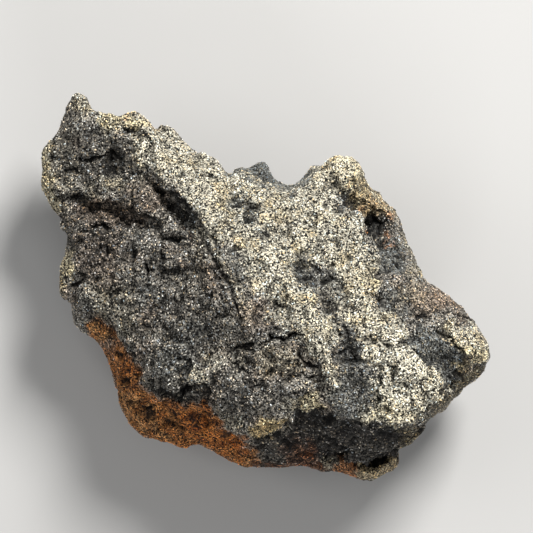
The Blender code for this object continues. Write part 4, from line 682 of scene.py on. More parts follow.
def neighbours(faces, count):
    """For each point, the points beside it, filled up with itself, and how many there are."""
    ends = np.concatenate([np.stack([faces[:, k], np.roll(faces, -1, 1)[:, k]], 1) for k in range(faces.shape[1])])
    ends = np.unique(np.concatenate([ends, ends[:, ::-1]]), axis=0)
    number = np.bincount(ends[:, 0], minlength=count)
    start = np.concatenate([[0], np.cumsum(number)[:-1]])
    table = np.tile(np.arange(count)[:, None], (1, number.max()))
    table[ends[:, 0], np.arange(len(ends)) - start[ends[:, 0]]] = ends[:, 1]
    return table, number


def smoothed(values, beside, rounds, share=0.5):
    """Values on the points, each moved towards the mean of its neighbours."""
    table, number = beside
    spare = table.shape[1] - number
    v = values.astype(float)
    if v.ndim > 1:
        return np.stack([smoothed(v[:, k], beside, rounds, share) for k in range(v.shape[1])], 1)
    columns = [np.ascontiguousarray(table[:, k]) for k in range(table.shape[1])]
    for _ in range(rounds):
        total = -spare * v
        for column in columns:
            total = total + v[column]
        v = v + share * (total / number - v)
    return v


def grid_of(points):
    """Grid place of points of the stone, across and down."""
    return np.stack([points[:, 0] / UNIT + MIDDLE[0], MIDDLE[1] - points[:, 1] / UNIT], 1)


def ledges(place):
    """How far the surface drops beside the ledges, in mm, at each grid place."""
    drop = np.zeros(len(place))
    for deep, reach, line in LEDGES:
        line = np.array(line, float)
        near = ((place > line.min(0) - reach) & (place < line.max(0) + reach)).all(1)
        q = place[near]
        best, turn, run = np.full(len(q), 1e9), np.zeros(len(q)), np.zeros(len(q))
        length = 0.0
        for a, b in zip(line, line[1:]):
            d = b - a
            t = np.clip(((q - a) @ d) / (d @ d), 0, 1)
            away = np.linalg.norm(q - (a + t[:, None] * d), axis=1)
            closer = away < best
            best = np.where(closer, away, best)
            turn = np.where(closer, d[0] * (q - a)[:, 1] - d[1] * (q - a)[:, 0], turn)
            run = np.where(closer, length + t * np.linalg.norm(d), run)
            length += np.linalg.norm(d)
        ends = np.clip(np.minimum(run, length - run) / (0.2 * length), 0, 1)
        fall = np.clip(1 - best / reach, 0, 1) ** 1.5 * np.clip(best / 1.5, 0, 1)
        drop[near] = np.maximum(drop[near], deep * ends * fall * (turn > 0))
    return drop


# ---------------------------------------------------------------- the stone's own shape

KINDS = {  # how the grains of each kind look: colour, how metallic
    "grey": ((0.355, 0.330, 0.286), 0.25),
    "white": ((1.000, 0.940, 0.760), 0.08),
    "silver": ((0.770, 0.722, 0.580), 0.18),
    "pale": ((0.520, 0.478, 0.365), 0.25),
    "gold": ((0.890, 0.745, 0.405), 0.20),
    "brass": ((0.640, 0.515, 0.270), 0.25),
    "slate": ((0.205, 0.210, 0.196), 0.20),
    "steel": ((0.200, 0.210, 0.212), 0.20),
    "brown": ((0.330, 0.240, 0.175), 0.20),
    "clay": ((0.560, 0.395, 0.270), 0.10),
    # The dark and umber kinds are dark ore, and also painted shade where the areas put them in hollows, cracks,
    # recesses and on the underside.
    "dark": ((0.060, 0.057, 0.051), 0.20),
    "umber_and_painted_shade": ((0.042, 0.037, 0.032), 0.20),
    "rust": ((0.590, 0.228, 0.055), 0.00),
    "rustdark": ((0.190, 0.068, 0.022), 0.00),
    "orange": ((0.620, 0.190, 0.028), 0.00),
    "tan": ((0.520, 0.300, 0.130), 0.00),
}


def over(place, loop, soft):
    """How much each place is in the area, from 0 to 1, over a soft border."""
    loop = np.array(loop, float)
    low, high = loop.min(0) - soft, loop.max(0) + soft
    found = np.zeros(len(place))
    near = ((place > low) & (place < high)).all(1)
    if near.any():
        d = to_line(place[near], loop, True)
        d = np.where(inside(place[near], loop), d, -d)
        t = np.clip(d / soft * 0.5 + 0.5, 0, 1)
        found[near] = t * t * (3 - 2 * t)
    return found


def brightness(colour):
    """From 0 on the dull ore to 1 on the bright ore."""
    return np.clip((colour.mean(1) - 0.30) / 0.22, 0, 1)


def tints(p, facing):
    """Colour of the ore and how metallic it is, at each point of the surface."""
    grid = grid_of(p)
    drift = np.stack([layered(p + s, 3.2 * MM, 3, 0.6, seed=40 + k) for k, s in enumerate((0, 0.05))], 1)
    place = grid + drift * 7
    colour = np.tile(np.array(KINDS["grey"][0]), (len(p), 1))
    metal = np.full(len(p), KINDS["grey"][1])
    # Large, faint changes of the ore all over, and the plainer back.
    wide = layered(p, 11 * MM, 3, 0.6, seed=60)
    patch = np.clip(wide * 2.2 - 0.5, 0, 1)
    brown = np.clip(layered(p, 7 * MM, 3, 0.6, seed=70) * 2 - 0.5, 0, 1)
    top = np.clip(facing * 2.5 + 0.55, 0, 1)
    for kind, share in (("pale", patch * (0.25 + 0.5 * (1 - top))), ("brown", brown * 0.4), ("slate", np.clip(-wide * 2 - 0.4, 0, 1) * 0.6)):
        c, m = KINDS[kind]
        colour = colour + share[:, None] * (np.array(c) - colour)
        metal = metal + share * (m - metal)
    rusty, plain = np.zeros(len(p)), np.zeros(len(p))
    for kind, soft, strength, loop in AREAS:
        share = over(place, loop, soft) * strength
        if kind not in ("rust", "rustdark", "orange", "tan"):
            share = share * top
        c, m = KINDS[kind]
        colour = colour + share[:, None] * (np.array(c) - colour)
        metal = metal + share * (m - metal)
        rusty = rusty + share * (float(kind in ("rust", "rustdark", "orange", "tan")) - rusty)
        plain = plain + share * (float(kind in ("slate", "steel")) - plain)
    # The bright ore is warmer in places, and the rust is darker or redder in places.
    light = brightness(colour)
    warm = np.clip(layered(p, 4.5 * MM, 3, 0.6, seed=63) * 2 - 0.35, 0, 1) * light * 0.5
    colour = colour + warm[:, None] * (np.array((0.620, 0.490, 0.260)) - colour)
    stain = layered(p, 2.6 * MM, 3, 0.65, seed=66) * rusty
    colour = colour * np.stack([1 + 0.35 * stain, 1 + 0.55 * stain, 1 + 0.75 * stain], 1)
    dull = layered(p, 3.4 * MM, 2, 0.6, seed=69)
    colour = colour * (1 + 0.30 * dull * (1 - 0.6 * light))[:, None]
    # The darkest ore is mottled in grey and black.
    murk = np.clip(1 - colour.mean(1) / 0.13, 0, 1)
    mottle = np.clip(4.2 * layered(p, 1.1 * MM, 3, 0.6, seed=75), -1.7, 1.3)
    colour = colour * np.exp(mottle * murk)[:, None]
    return colour, metal, rusty, plain


def cut(place, top, fray):
    """How deep the cracks and pits go at each point, in mm, and how much painted shade darkens them."""
    depth = np.zeros(len(place))
    shade = np.zeros(len(place))
    for deep, half, line in CUTS:
        line = np.array(line, float)
        low, high = line.min(0) - 3 * half - 3, line.max(0) + 3 * half + 3
        near = ((place > low) & (place < high)).all(1) & top
        if not near.any():
            continue
        d = to_line(place[near], line)
        t = np.clip(1 - d / (half * 1.3 * fray[near]), 0, 1)
        t = t * t * (3 - 2 * t)
        depth[near] = np.maximum(depth[near], deep * t)
        shade[near] = np.maximum(shade[near], np.clip(1.5 * t, 0, 1) * min(1.0, 0.5 + 0.4 * deep))
    return depth, shade


def stone_skin():
    """Points and faces of the finished skin, and what each point is like."""
    p, quads = even_mesh(*net_mesh(), FINE_CELL)
    beside = neighbours(quads, len(p))
    p = smoothed(p, beside, 4)
    normal = normals_of(p, quads)
    grid = grid_of(p)
    from_edge = np.clip(to_line(grid, OUTLINE, True, 15) / 14, 0, 1)
    calm = 0.25 + 0.75 * from_edge * from_edge * (3 - 2 * from_edge)
    facing = smoothed(normal[:, 2], beside, 18)
    top = facing > -0.15
    back = np.clip(-normal[:, 2] * 2 + 0.2, 0, 1)
    resting = np.clip(-normal[:, 2] * 4 - 2.6, 0, 1) * np.clip(1.6 - p[:, 2] / MM, 0, 1)

    bent = p + 0.8 * MM * layered(p, 3 * MM, 1, seed=9)[:, None]
    face, seam, _ = chips(bent, CHIP * MM, seed=3)
    relief = WAVE_RELIEF * MM * layered(p, 9 * MM, 3, seed=1) + CHIP_RELIEF * MM * face
    relief = smoothed(relief, beside, 2)

    colour, metal, rusty, plain = tints(p, facing)
    bright = brightness(colour)
    # Cracks that stand open between some of the chips of the dark ore.
    apart = np.clip(layered(p, 6 * MM, 2, seed=80) * 2.4 - 0.5, 0, 1) * (1 - 0.85 * bright) * (1 - 0.5 * rusty)
    crack = np.clip(1 - seam / 0.12, 0, 1) * apart
    # Smaller chips, sharper on the dark ore than on the bright, and a crumbly finish.
    bent = p + 0.45 * MM * layered(p, 1.6 * MM, 2, seed=19)[:, None]
    small, rim, _ = chips(bent, 2.5 * MM, seed=13)
    crumbs, gap, lift = chips(p + 0.12 * MM * layered(p, 0.8 * MM, 1, seed=29)[:, None], 1.1 * MM, seed=23)
    fine = 0.52 * MM * small * (1 - 0.40 * bright)
    fine = fine + 0.30 * MM * crumbs * (1 - 0.2 * bright) + 0.12 * MM * (lift[:, 0] - 0.5)
    fine = fine - 0.11 * MM * np.clip(1 - gap / 0.16, 0, 1) * (1 - 0.5 * bright)
    fine = fine + 0.16 * MM * layered(p, 1.9 * MM, 3, 0.6, seed=31)
    # Little pits all over the bright ore.
    pit = np.clip(waves(p, 1.4 * MM, seed=77) * 2.6 - 1.1, 0, 1) * bright
    fine = fine - 0.30 * MM * pit
    relief = relief + fine * (1 - 0.4 * rusty) * (1 - 0.3 * plain) - 0.7 * MM * crack
    relief = relief * (1 + 0.5 * back) * (1 - 0.2 * resting) + 0.1 * MM * resting

    # Straight ribs on the step below the main ridge.
    a, b, wide = RIBS
    a, b = np.array(a, float), np.array(b, float)
    along = (b - a) / np.linalg.norm(b - a)
    t = (grid - a) @ along
    s = (grid - a) @ np.array([-along[1], along[0]])
    on = np.clip(1 - np.abs(s / wide), 0, 1) * np.clip(t / 12, 0, 1) * np.clip((np.linalg.norm(b - a) - t) / 12, 0, 1) * top
    relief = relief + 0.30 * MM * on * np.sin(s * 1.45 + 0.8 * np.sin(t * 0.07))

    stray = np.stack([layered(p, 1.8 * MM, 2, 0.6, seed=90), layered(p, 1.8 * MM, 2, 0.6, seed=95)], 1)
    fray = 1 + 0.6 * layered(p, 1.3 * MM, 2, 0.6, seed=98)
    ragged = grid + 2.2 * stray
    depth, shade = cut(ragged, top, np.clip(fray, 0.35, 1.8))
    drop = ledges(ragged) * top
    p = p + normal * (relief * calm - (depth + drop) * MM)[:, None]
    p[:, 2] = np.maximum(p[:, 2], 0.0)
    # The open cracks and the little pits get painted shade too.
    shade = np.maximum(shade, 0.8 * crack)
    shade = np.maximum(shade, 0.5 * pit)

    # How far each point lies below or above its surroundings, near and wide.
    wide_in = ((smoothed(p, beside, 50, 0.9) - p) * normal).sum(1) / MM
    near_in = ((smoothed(p, beside, 12) - p) * normal).sum(1) / MM
    hollow = np.clip(1.0 * wide_in + 1.6 * near_in, -1, 1)
    # The middle of the stone's bounding box goes over the origin.
    p = p + np.array(TO_MIDDLE) * MM
    return p, quads, beside, colour, metal, rusty, plain, hollow, shade, facing


def thin_skin(p, quads, facing, values):
    """The skin in fewer triangles: mostly fewer on its back, then where it is flattest."""
    fine = quick_mesh("fine_skin", p / MM, quads, 4)
    for name, value in values.items():
        add_values(fine.data, name, value)
    group = fine.vertex_groups.new(name="back")
    group.add([int(k) for k in np.flatnonzero(facing < -0.1)], 1.0, "REPLACE")
    total = 2 * len(quads)
    below = float((facing[quads].mean(1) < -0.1).mean())
    left = total * (1 - 0.68 * below)
    first = fine.modifiers.new("back", "DECIMATE")
    first.ratio = left / total
    first.vertex_group = "back"
    first.vertex_group_factor = 1.0
    first.use_collapse_triangulate = True
    second = fine.modifiers.new("flat", "DECIMATE")
    second.ratio = min(1.0, SKIN_TRIANGLES / left)
    second.use_collapse_triangulate = True
    mesh = bpy.data.meshes.new_from_object(fine.evaluated_get(bpy.context.evaluated_depsgraph_get()))
    mesh.name = "stone_skin"
    bpy.data.objects.remove(fine)
    q = np.empty(len(mesh.vertices) * 3, np.float32)
    mesh.vertices.foreach_get("co", q)
    q = q.reshape(-1, 3).astype(float) * MM
    q[:, 2] = np.maximum(q[:, 2], 0.0)
    mesh.vertices.foreach_set("co", q.astype(np.float32).ravel())
    mesh.update()
    skin = bpy.data.objects.new("stone_skin", mesh)
    bpy.context.scene.collection.objects.link(skin)
    corners = np.empty(len(mesh.loops), np.int32)
    mesh.loops.foreach_get("vertex_index", corners)
    corners = corners.reshape(-1, 3)
    turned_out = normals_of(q, np.column_stack([corners, corners[:, 2]]))
    lay_out_skin(skin, q, corners, smoothed(turned_out, neighbours(corners, len(q)), 20))
    return skin


def add_values(mesh, name, values):
    values = np.asarray(values, np.float32)
    if values.ndim == 1:
        layer = mesh.attributes.new(name, "FLOAT", "POINT")
        layer.data.foreach_set("value", values)
    else:
        layer = mesh.attributes.new(name, "FLOAT_COLOR", "POINT")
        full = np.ones((len(values), 4), np.float32)
        full[:, :3] = values
        layer.data.foreach_set("color", full.ravel())


def quick_mesh(name, points, corners, sides):
    """A mesh from arrays; every face has the same number of sides."""
    mesh = bpy.data.meshes.new(name)
    mesh.vertices.add(len(points))
    mesh.vertices.foreach_set("co", np.asarray(points, np.float32).ravel())
    n = len(corners)
    mesh.loops.add(n * sides)
    mesh.loops.foreach_set("vertex_index", np.asarray(corners, np.int32).ravel())
    mesh.polygons.add(n)
    mesh.polygons.foreach_set("loop_start", np.arange(0, n * sides, sides, dtype=np.int32))
    mesh.polygons.foreach_set("loop_total", np.full(n, sides, np.int32))
    mesh.update(calc_edges=True)
    mesh.validate()
    obj = bpy.data.objects.new(name, mesh)
    bpy.context.scene.collection.objects.link(obj)
    return obj


def lay_out_skin(obj, points, quads, normal):
    """A map that lays the stone's six sides side by side, each at the same scale."""
    n = np.abs(normal[quads].mean(1))
    mean = normal[quads].mean(1)
    axis = np.argmax(n, 1)
    up = mean[np.arange(len(mean)), axis] > 0
    low = points.min(0)
    q = (points - low) / MM
    x, y, z = q[quads][..., 0], q[quads][..., 1], q[quads][..., 2]
    sheet = 180.0
    uv = np.zeros(quads.shape + (2,))
    for k, (ax, upwards, a, b, du, dv) in enumerate((
        (2, True, x, y, 1, 1), (2, False, x, y, 1, 81), (0, True, z, y, 94, 1),
        (0, False, z, y, 137, 1), (1, True, z, x, 94, 82), (1, False, z, x, 137, 82),
    )):
        on = (axis == ax) & (up == upwards)
        uv[on, :, 0] = (a[on] + du) / sheet
        uv[on, :, 1] = (b[on] + dv) / sheet
    layer = obj.data.uv_layers.new(name="OFBake")
    layer.data.foreach_set("uv", uv.astype(np.float32).ravel())


# ---------------------------------------------------------------- the ore's grains


def crystal_shapes(count, corners, seed):
    """Small convex solids, about 1 across: the hulls of points spread over a sphere."""
    rng = np.random.default_rng(seed)
    shapes = []
    for _ in range(count):
        q = rng.normal(size=(corners, 3))
        q /= np.linalg.norm(q, axis=1)[:, None]
        for _ in range(12):
            d = q[:, None] - q[None]
            r = np.linalg.norm(d, axis=2) + np.eye(corners)
            q = q + 0.06 * (d / r[..., None] ** 3).sum(1)
            q /= np.linalg.norm(q, axis=1)[:, None]
        q *= rng.uniform(0.42, 0.56, (corners, 1))
        b = bmesh.new()
        for c in q:
            b.verts.new(c)
        bmesh.ops.convex_hull(b, input=b.verts[:])
        loose = [v for v in b.verts if not v.link_faces]
        bmesh.ops.delete(b, geom=loose, context="VERTS")
        bmesh.ops.triangulate(b, faces=b.faces[:])
        bmesh.ops.recalc_face_normals(b, faces=b.faces[:])
        b.verts.index_update()
        shapes.append((np.array([v.co[:] for v in b.verts]), np.array([[v.index for v in f.verts] for f in b.faces])))
        b.free()
    return shapes


def scatter(points, quads, among, gap, tries, seed):
    """Places spread evenly over some of the faces: which face each is on, and where."""
    rng = np.random.default_rng(seed)
    a, b, c, d = (points[quads[among, k]] for k in range(4))
    area = np.linalg.norm(np.cross(c - a, d - b), axis=1)
    pick = rng.choice(len(among), tries, p=area / area.sum())
    s, t = rng.uniform(size=(2, tries, 1))
    at = (1 - s) * (1 - t) * a[pick] + s * (1 - t) * b[pick] + s * t * c[pick] + (1 - s) * t * d[pick]
    # Sieved through grids of this gap, each shifted: one place is left in each cell.
    kept = np.arange(tries)
    for _ in range(9):
        cell = np.floor(at[kept] / gap + rng.uniform(0, 1, 3)).astype(np.int64) + 4096
        key = (cell[:, 0] * 8192 + cell[:, 1]) * 8192 + cell[:, 2]
        _, first = np.unique(key, return_index=True)
        kept = kept[np.sort(first)]
    return among[pick[kept]], at[kept]


def turned(count, rng):
    """Random rotations."""
    q = rng.normal(size=(count, 4))
    q /= np.linalg.norm(q, axis=1)[:, None]
    w, x, y, z = q.T
    return np.stack([
        1 - 2 * (y * y + z * z), 2 * (x * y - z * w), 2 * (x * z + y * w),
        2 * (x * y + z * w), 1 - 2 * (x * x + z * z), 2 * (y * z - x * w),
        2 * (x * z - y * w), 2 * (y * z + x * w), 1 - 2 * (x * x + y * y)], 1).reshape(-1, 3, 3)


def grow(name, at, normal, size, sunk, colour, metal, shapes, seed):
    """One mesh of closed crystals, and its map: a small square of its own for each."""
    rng = np.random.default_rng(seed)
    n = len(at)
    which = rng.integers(0, len(shapes), n)
    turn = turned(n, rng)
    stretch = rng.uniform((0.52, 0.64, 1.10), (0.76, 0.94, 1.75), (n, 3))
    points, faces, owner, uv = [], [], [], []
    start = 0
    side = np.cross(normal, np.where(np.abs(normal[:, :1]) < 0.8, [[1.0, 0, 0]], [[0, 1.0, 0]]))
    side /= np.linalg.norm(side, axis=1)[:, None]
    other = np.cross(normal, side)
    across = math.ceil(math.sqrt(n))
    for k, (verts, tris) in enumerate(shapes):
        mine = np.flatnonzero(which == k)
        if not len(mine):
            continue
        v = np.einsum("nij,nvj->nvi", turn[mine], verts[None] * stretch[mine][:, None])
        # Each crystal lies flatter on the stone than it is wide.
        out = (v * normal[mine][:, None]).sum(2, keepdims=True)
        v = v - out * normal[mine][:, None] * 0.5
        v = v * size[mine][:, None, None] + (at[mine] - normal[mine] * sunk[mine][:, None])[:, None]
        points.append(v.reshape(-1, 3))
        f = tris[None] + (start + np.arange(len(mine)) * len(verts))[:, None, None]
        faces.append(f.reshape(-1, 3))
        owner.append(np.repeat(mine, len(verts)))
        start += len(mine) * len(verts)
        c = v[:, tris]
        face_normal = np.cross(c[:, :, 1] - c[:, :, 0], c[:, :, 2] - c[:, :, 0])
        outer = (face_normal * normal[mine][:, None]).sum(2) > 0
        rel = (c - at[mine][:, None, None]) / size[mine][:, None, None, None]
        a = np.clip((rel * side[mine][:, None, None]).sum(3) / 1.5 + 0.5, 0, 1)
        b = np.clip((rel * other[mine][:, None, None]).sum(3) / 1.5 + 0.5, 0, 1)
        a = np.where(outer[..., None], 0.04 + 0.60 * a, 0.70 + 0.26 * a)
        cell = np.stack([mine % across, mine // across], 1)[:, None, None]
        uv.append(((np.stack([a, 0.04 + 0.92 * b], -1) + cell) / across).reshape(-1, 2))
    points, faces, owner = np.concatenate(points), np.concatenate(faces), np.concatenate(owner)
    points[:, 2] = np.maximum(points[:, 2], 0.0)
    obj = quick_mesh(name, points, faces, 3)
    layer = obj.data.uv_layers.new(name="OFBake")
    layer.data.foreach_set("uv", np.concatenate(uv).astype(np.float32).ravel())
    # The crystals' colours carry the painted shade and light of the skin below them.
    add_values(obj.data, "tint_with_painted_light_and_shade", colour[owner])
    add_values(obj.data, "metal", metal[owner])
    return obj


# ---------------------------------------------------------------- materials


def nodes_of(name):
    material = bpy.data.materials.new(name)
    material.use_nodes = True
    tree = material.node_tree
    return material, tree, tree.nodes["Principled BSDF"]


def node(tree, kind, inputs=None, **settings):
    n = tree.nodes.new(kind)
    for key, value in settings.items():
        setattr(n, key, value)
    for key, value in (inputs or {}).items():
        if isinstance(value, bpy.types.NodeSocket):
            tree.links.new(value, n.inputs[key])
        else:
            n.inputs[key].default_value = value
    return n


def times(tree, a, b):
    return node(tree, "ShaderNodeMath", {0: a, 1: b}, operation="MULTIPLY").outputs[0]


def plus(tree, a, b):
    return node(tree, "ShaderNodeMath", {0: a, 1: b}, operation="ADD").outputs[0]


def spread(tree, value, low, high, to_low=0.0, to_high=1.0):
    return node(tree, "ShaderNodeMapRange", {"Value": value, "From Min": low, "From Max": high, "To Min": to_low, "To Max": to_high}).outputs[0]


def in_mm(tree):
    where = node(tree, "ShaderNodeTexCoord").outputs["Object"]
    return node(tree, "ShaderNodeVectorMath", {0: where, 1: (1000, 1000, 1000)}, operation="MULTIPLY").outputs[0]


def scaled(tree, colour, share):
    """A colour times a number."""
    return node(tree, "ShaderNodeVectorMath", {0: colour, "Scale": share}, operation="SCALE").outputs[0]


def skin_material():
    """The ground that the grains are set in: the same ore, finer and darker, with black pores. The dark ground and its
    pores are partly dark mineral and partly painted shade in the gaps between the grains.
    """
    material, tree, look = nodes_of("ore_ground")
    look.inputs["Specular IOR Level"].default_value = 0.15
    mm = in_mm(tree)
    warp = node(tree, "ShaderNodeTexNoise", {"Vector": mm, "Scale": 1.9, "Detail": 2.0})
    bent = node(tree, "ShaderNodeVectorMath", {0: warp.outputs["Color"], 1: (0.45, 0.45, 0.45), 2: mm}, operation="MULTIPLY_ADD").outputs[0]
    cells = node(tree, "ShaderNodeTexVoronoi", {"Vector": bent, "Scale": 2.8, "Randomness": 1.0})
    pores = node(tree, "ShaderNodeTexNoise", {"Vector": mm, "Scale": 2.5, "Detail": 2.0, "Roughness": 0.55, "Distortion": 0.3})
    dust = node(tree, "ShaderNodeTexNoise", {"Vector": mm, "Scale": 4.2, "Detail": 3.0, "Roughness": 0.6})
    rand = node(tree, "ShaderNodeSeparateColor", {"Color": cells.outputs["Color"]})
    grain = spread(tree, rand.outputs[0], 0.0, 1.0, 0.22, 0.72)
    # The pores: near-black spots of painted shade in small pits, which the bump also sinks.
    pore = spread(tree, pores.outputs["Fac"], 0.46, 0.50, 0.012, 1.0)
    fleck = spread(tree, dust.outputs["Fac"], 0.36, 0.64, 0.60, 1.20)
    # The colour attribute carries the painted shade of hollows, cracks and pits, and the painted light on bumps.
    tint_with_painted_light_and_shade = node(tree, "ShaderNodeAttribute", attribute_name="tint_with_painted_light_and_shade")
    share = times(tree, times(tree, grain, pore), fleck)
    tree.links.new(scaled(tree, tint_with_painted_light_and_shade.outputs["Color"], share), look.inputs["Base Color"])
    metal = node(tree, "ShaderNodeAttribute", attribute_name="metal")
    tree.links.new(times(tree, metal.outputs["Fac"], pore), look.inputs["Metallic"])
    tree.links.new(spread(tree, rand.outputs[1], 0.0, 1.0, 0.45, 0.75), look.inputs["Roughness"])
    # Each fine grain is a small facet of its own, tilted at random, and the pores are sunk.
    lean = node(tree, "ShaderNodeVectorMath", {0: cells.outputs["Color"], 1: (0.5, 0.5, 0.5)}, operation="SUBTRACT").outputs[0]
    off = node(tree, "ShaderNodeVectorMath", {0: bent, 1: cells.outputs["Position"]}, operation="SUBTRACT").outputs[0]
    slope = node(tree, "ShaderNodeVectorMath", {0: off, 1: lean}, operation="DOT_PRODUCT").outputs["Value"]
    height = plus(tree, times(tree, slope, 0.7), times(tree, pore, 0.18))
    bump = node(tree, "ShaderNodeBump", {"Height": height, "Distance": 0.001, "Strength": 0.7})
    tree.links.new(bump.outputs[0], look.inputs["Normal"])
    return material


def grain_material():
    """A single crystal: its own colour, with a little tarnish and scratching on it."""
    material, tree, look = nodes_of("ore_grain")
    look.inputs["Specular IOR Level"].default_value = 0.15
    mm = in_mm(tree)
    fine = node(tree, "ShaderNodeTexNoise", {"Vector": mm, "Scale": 3.4, "Detail": 3.0, "Roughness": 0.6})
    # The colour attribute carries the painted shade and light, and the painted glints of the lighter grains.
    tint_with_painted_light_and_shade = node(tree, "ShaderNodeAttribute", attribute_name="tint_with_painted_light_and_shade")
    share = spread(tree, fine.outputs["Fac"], 0.35, 0.65, 0.82, 1.14)
    tree.links.new(scaled(tree, tint_with_painted_light_and_shade.outputs["Color"], share), look.inputs["Base Color"])
    metal = node(tree, "ShaderNodeAttribute", attribute_name="metal")
    tree.links.new(metal.outputs["Fac"], look.inputs["Metallic"])
    tree.links.new(spread(tree, fine.outputs["Fac"], 0.3, 0.7, 0.44, 0.70), look.inputs["Roughness"])
    bump = node(tree, "ShaderNodeBump", {"Height": fine.outputs["Fac"], "Distance": 0.0002, "Strength": 0.5})
    tree.links.new(bump.outputs[0], look.inputs["Normal"])
    return material


def floor_material():
    material, tree, look = nodes_of("pale_floor")
    look.inputs["Base Color"].default_value = (0.345, 0.343, 0.339, 1)
    look.inputs["Roughness"].default_value = 0.85
    return material


# ---------------------------------------------------------------- building it


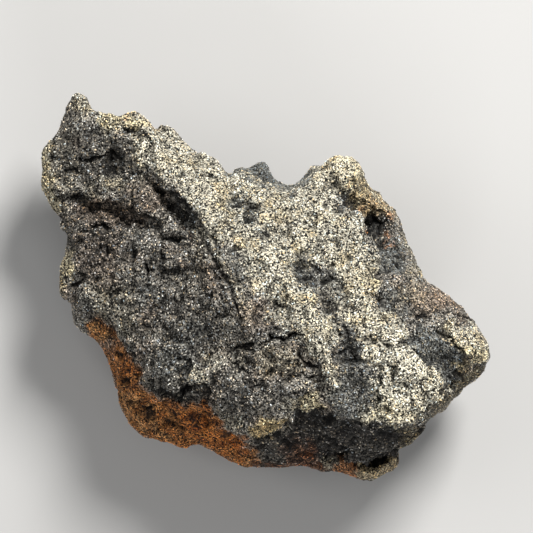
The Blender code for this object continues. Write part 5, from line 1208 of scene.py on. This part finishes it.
def build():
    p, quads, beside, colour, metal, rusty, plain, hollow, shade, facing = stone_skin()
    normal = normals_of(p, quads)
    light = brightness(colour)
    # Painted shade and light: the colour is darker in hollows, cracks and pits and lighter on bumps, as the lamps would
    # shade them. It goes into the skin's colour and the grains'.
    painted_light_and_shade = np.clip(1 - 0.75 * np.clip(hollow, 0, 1) * (1 - 0.22 * light) + 0.35 * np.clip(-hollow, 0, 1), 0.12, 1.3) * (1 - 0.95 * shade)
    skin = thin_skin(p, quads, facing, {"tint_with_painted_light_and_shade": colour * painted_light_and_shade[:, None], "metal": metal})
    skin.data.shade_smooth()
    skin.data.materials.append(skin_material())
    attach(skin, "root")
    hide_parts(NODE)

    seen = facing[quads].mean(1) > -0.1
    near, at = scatter(p, quads, np.flatnonzero(seen), 0.335 * MM, 260000, seed=5)
    far, at_far = scatter(p, quads, np.flatnonzero(~seen), 0.50 * MM, 110000, seed=6)
    room = np.concatenate([np.full(len(near), 0.37 * MM), np.full(len(far), 0.52 * MM)])
    pick, at = np.concatenate([near, far]), np.concatenate([at, at_far])
    rng = np.random.default_rng(8)
    n = len(at)
    room = room * rng.uniform(0.75, 1.35, n)
    corner = quads[pick, 0]
    out = smoothed(normal, beside, 2)[corner]
    out /= np.linalg.norm(out, axis=1)[:, None]
    base, shine, rust, bright, smooth = colour[corner], metal[corner], rusty[corner], light[corner], plain[corner]
    level = painted_light_and_shade[corner]
    # Most grains are near the ore's own colour, times the painted shade and light. The rest are nearly black and lie
    # deeper,
    # which leaves the ore pitted: dark grains, and painted shade in the gaps. Some are painted lighter: pale grains and
    # painted glints, brightest on the darkest ore.
    clump = layered(at, 1.5 * MM, 2, 0.6, seed=84)
    roll = rng.uniform(size=n)
    deep = np.clip(1 - base.mean(1) / 0.22, 0, 1)
    much = rng.uniform(0.62, 1.22, n) * np.exp(0.5 * deep * rng.normal(size=n)) * (1 + 0.35 * deep)
    black = roll < (0.420 + 0.03 * bright + 0.04 * rust + 0.20 * deep) * (1 - 0.5 * smooth) * (1 + 0.95 * clump)
    lighter = roll > 0.80 + 0.08 * smooth
    much = np.where(black, rng.uniform(0.004, 0.045, n), much)
    much = np.where(lighter, rng.uniform(1.5, 2.7, n) * (1 - 0.42 * bright) * (1 - 0.2 * smooth) * (1 + 3.2 * deep * deep) * (1 - 0.08 * rust), much)
    tone = base * (much * level)[:, None]
    warm = rng.normal(size=n) * 0.08
    tone = tone * np.stack([1 + warm, np.ones(n), 1 - 1.4 * warm], 1)
    tone = np.maximum(tone / np.maximum(tone.max(1, keepdims=True) / 0.95, 1), 0.003)
    size = room * np.where(black, rng.uniform(1.1, 1.45, n), rng.uniform(1.05, 1.4, n)) * np.where(lighter, 0.82 + 0.13 * bright + 0.15 * deep, 1)
    sunk = size * np.where(black, rng.uniform(0.08, 0.15, n), rng.uniform(-0.08, 0.12, n)) + 0.1 * MM * shade[corner]
    shapes = crystal_shapes(24, 7, seed=3)
    look = grain_material()
    order = np.lexsort((at[:, 1], at[:, 0]))
    parts = np.array_split(order, 4)
    print("GRAINS", n, len(near), len(far))
    for k, mine in enumerate(parts):
        name = ("grains_left", "grains_mid_left", "grains_mid_right", "grains_right")[k]
        obj = grow(name, at[mine], out[mine], size[mine], sunk[mine], tone[mine], shine[mine], shapes, seed=20 + k)
        obj.data.materials.append(look)
        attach(obj, "root")
        print("PIECE", name, len(obj.data.polygons))
    print("SKIN", len(skin.data.polygons), "of", len(quads) * 2)


def stage():
    size = 3.0
    floor = quick_mesh("floor", [(-size, -size, 0), (size, -size, 0), (size, size, 0), (-size, size, 0)], [(0, 1, 2, 3)], 4)
    floor.data.materials.append(floor_material())

    def lamp(name, at, power, wide, colour=(1, 1, 1)):
        light = bpy.data.lights.new(name, "AREA")
        light.shape = "RECTANGLE"
        light.size, light.size_y = wide
        light.energy = power
        light.color = colour
        obj = bpy.data.objects.new(name, light)
        obj.location = at
        obj.rotation_euler = (-Vector(at)).to_track_quat("-Z", "Y").to_euler()
        bpy.context.scene.collection.objects.link(obj)

    lamp("key", (0.34, 0.60, 0.60), 20.5, (0.30, 0.30), (1.0, 0.985, 0.96))
    lamp("fill", (-0.75, 0.10, 0.55), 2.9, (0.5, 0.5), (1.0, 1.0, 1.0))
    lamp("low", (0.22, -0.76, 0.42), 4.2, (0.5, 0.25), (1.0, 1.0, 1.0))

    world = bpy.data.worlds.new("studio")
    bpy.context.scene.world = world
    world.use_nodes = True
    world.node_tree.nodes["Background"].inputs["Color"].default_value = (0.86, 0.86, 0.86, 1)
    world.node_tree.nodes["Background"].inputs["Strength"].default_value = 0.27

    # Straight above the stone, with the drawing's up as the picture's up.
    lens = bpy.data.cameras.new("camera")
    camera = bpy.data.objects.new("camera", lens)
    bpy.context.scene.collection.objects.link(camera)
    away = 2.4
    level = 0.018  # the outline's height, where one step of the grid is one pixel
    lens.sensor_fit = "HORIZONTAL"
    lens.sensor_width = 36.0
    lens.lens = 36.0 * away / (533 * UNIT)
    lens.clip_start, lens.clip_end = 0.05, 20.0
    camera.location = ((266.5 - MIDDLE[0]) * UNIT, (MIDDLE[1] - 266.5) * UNIT, level + away)
    camera.rotation_euler = (0, 0, 0)
    bpy.context.scene.camera = camera
    bpy.context.scene.view_settings.view_transform = "Standard"


stage()
build()
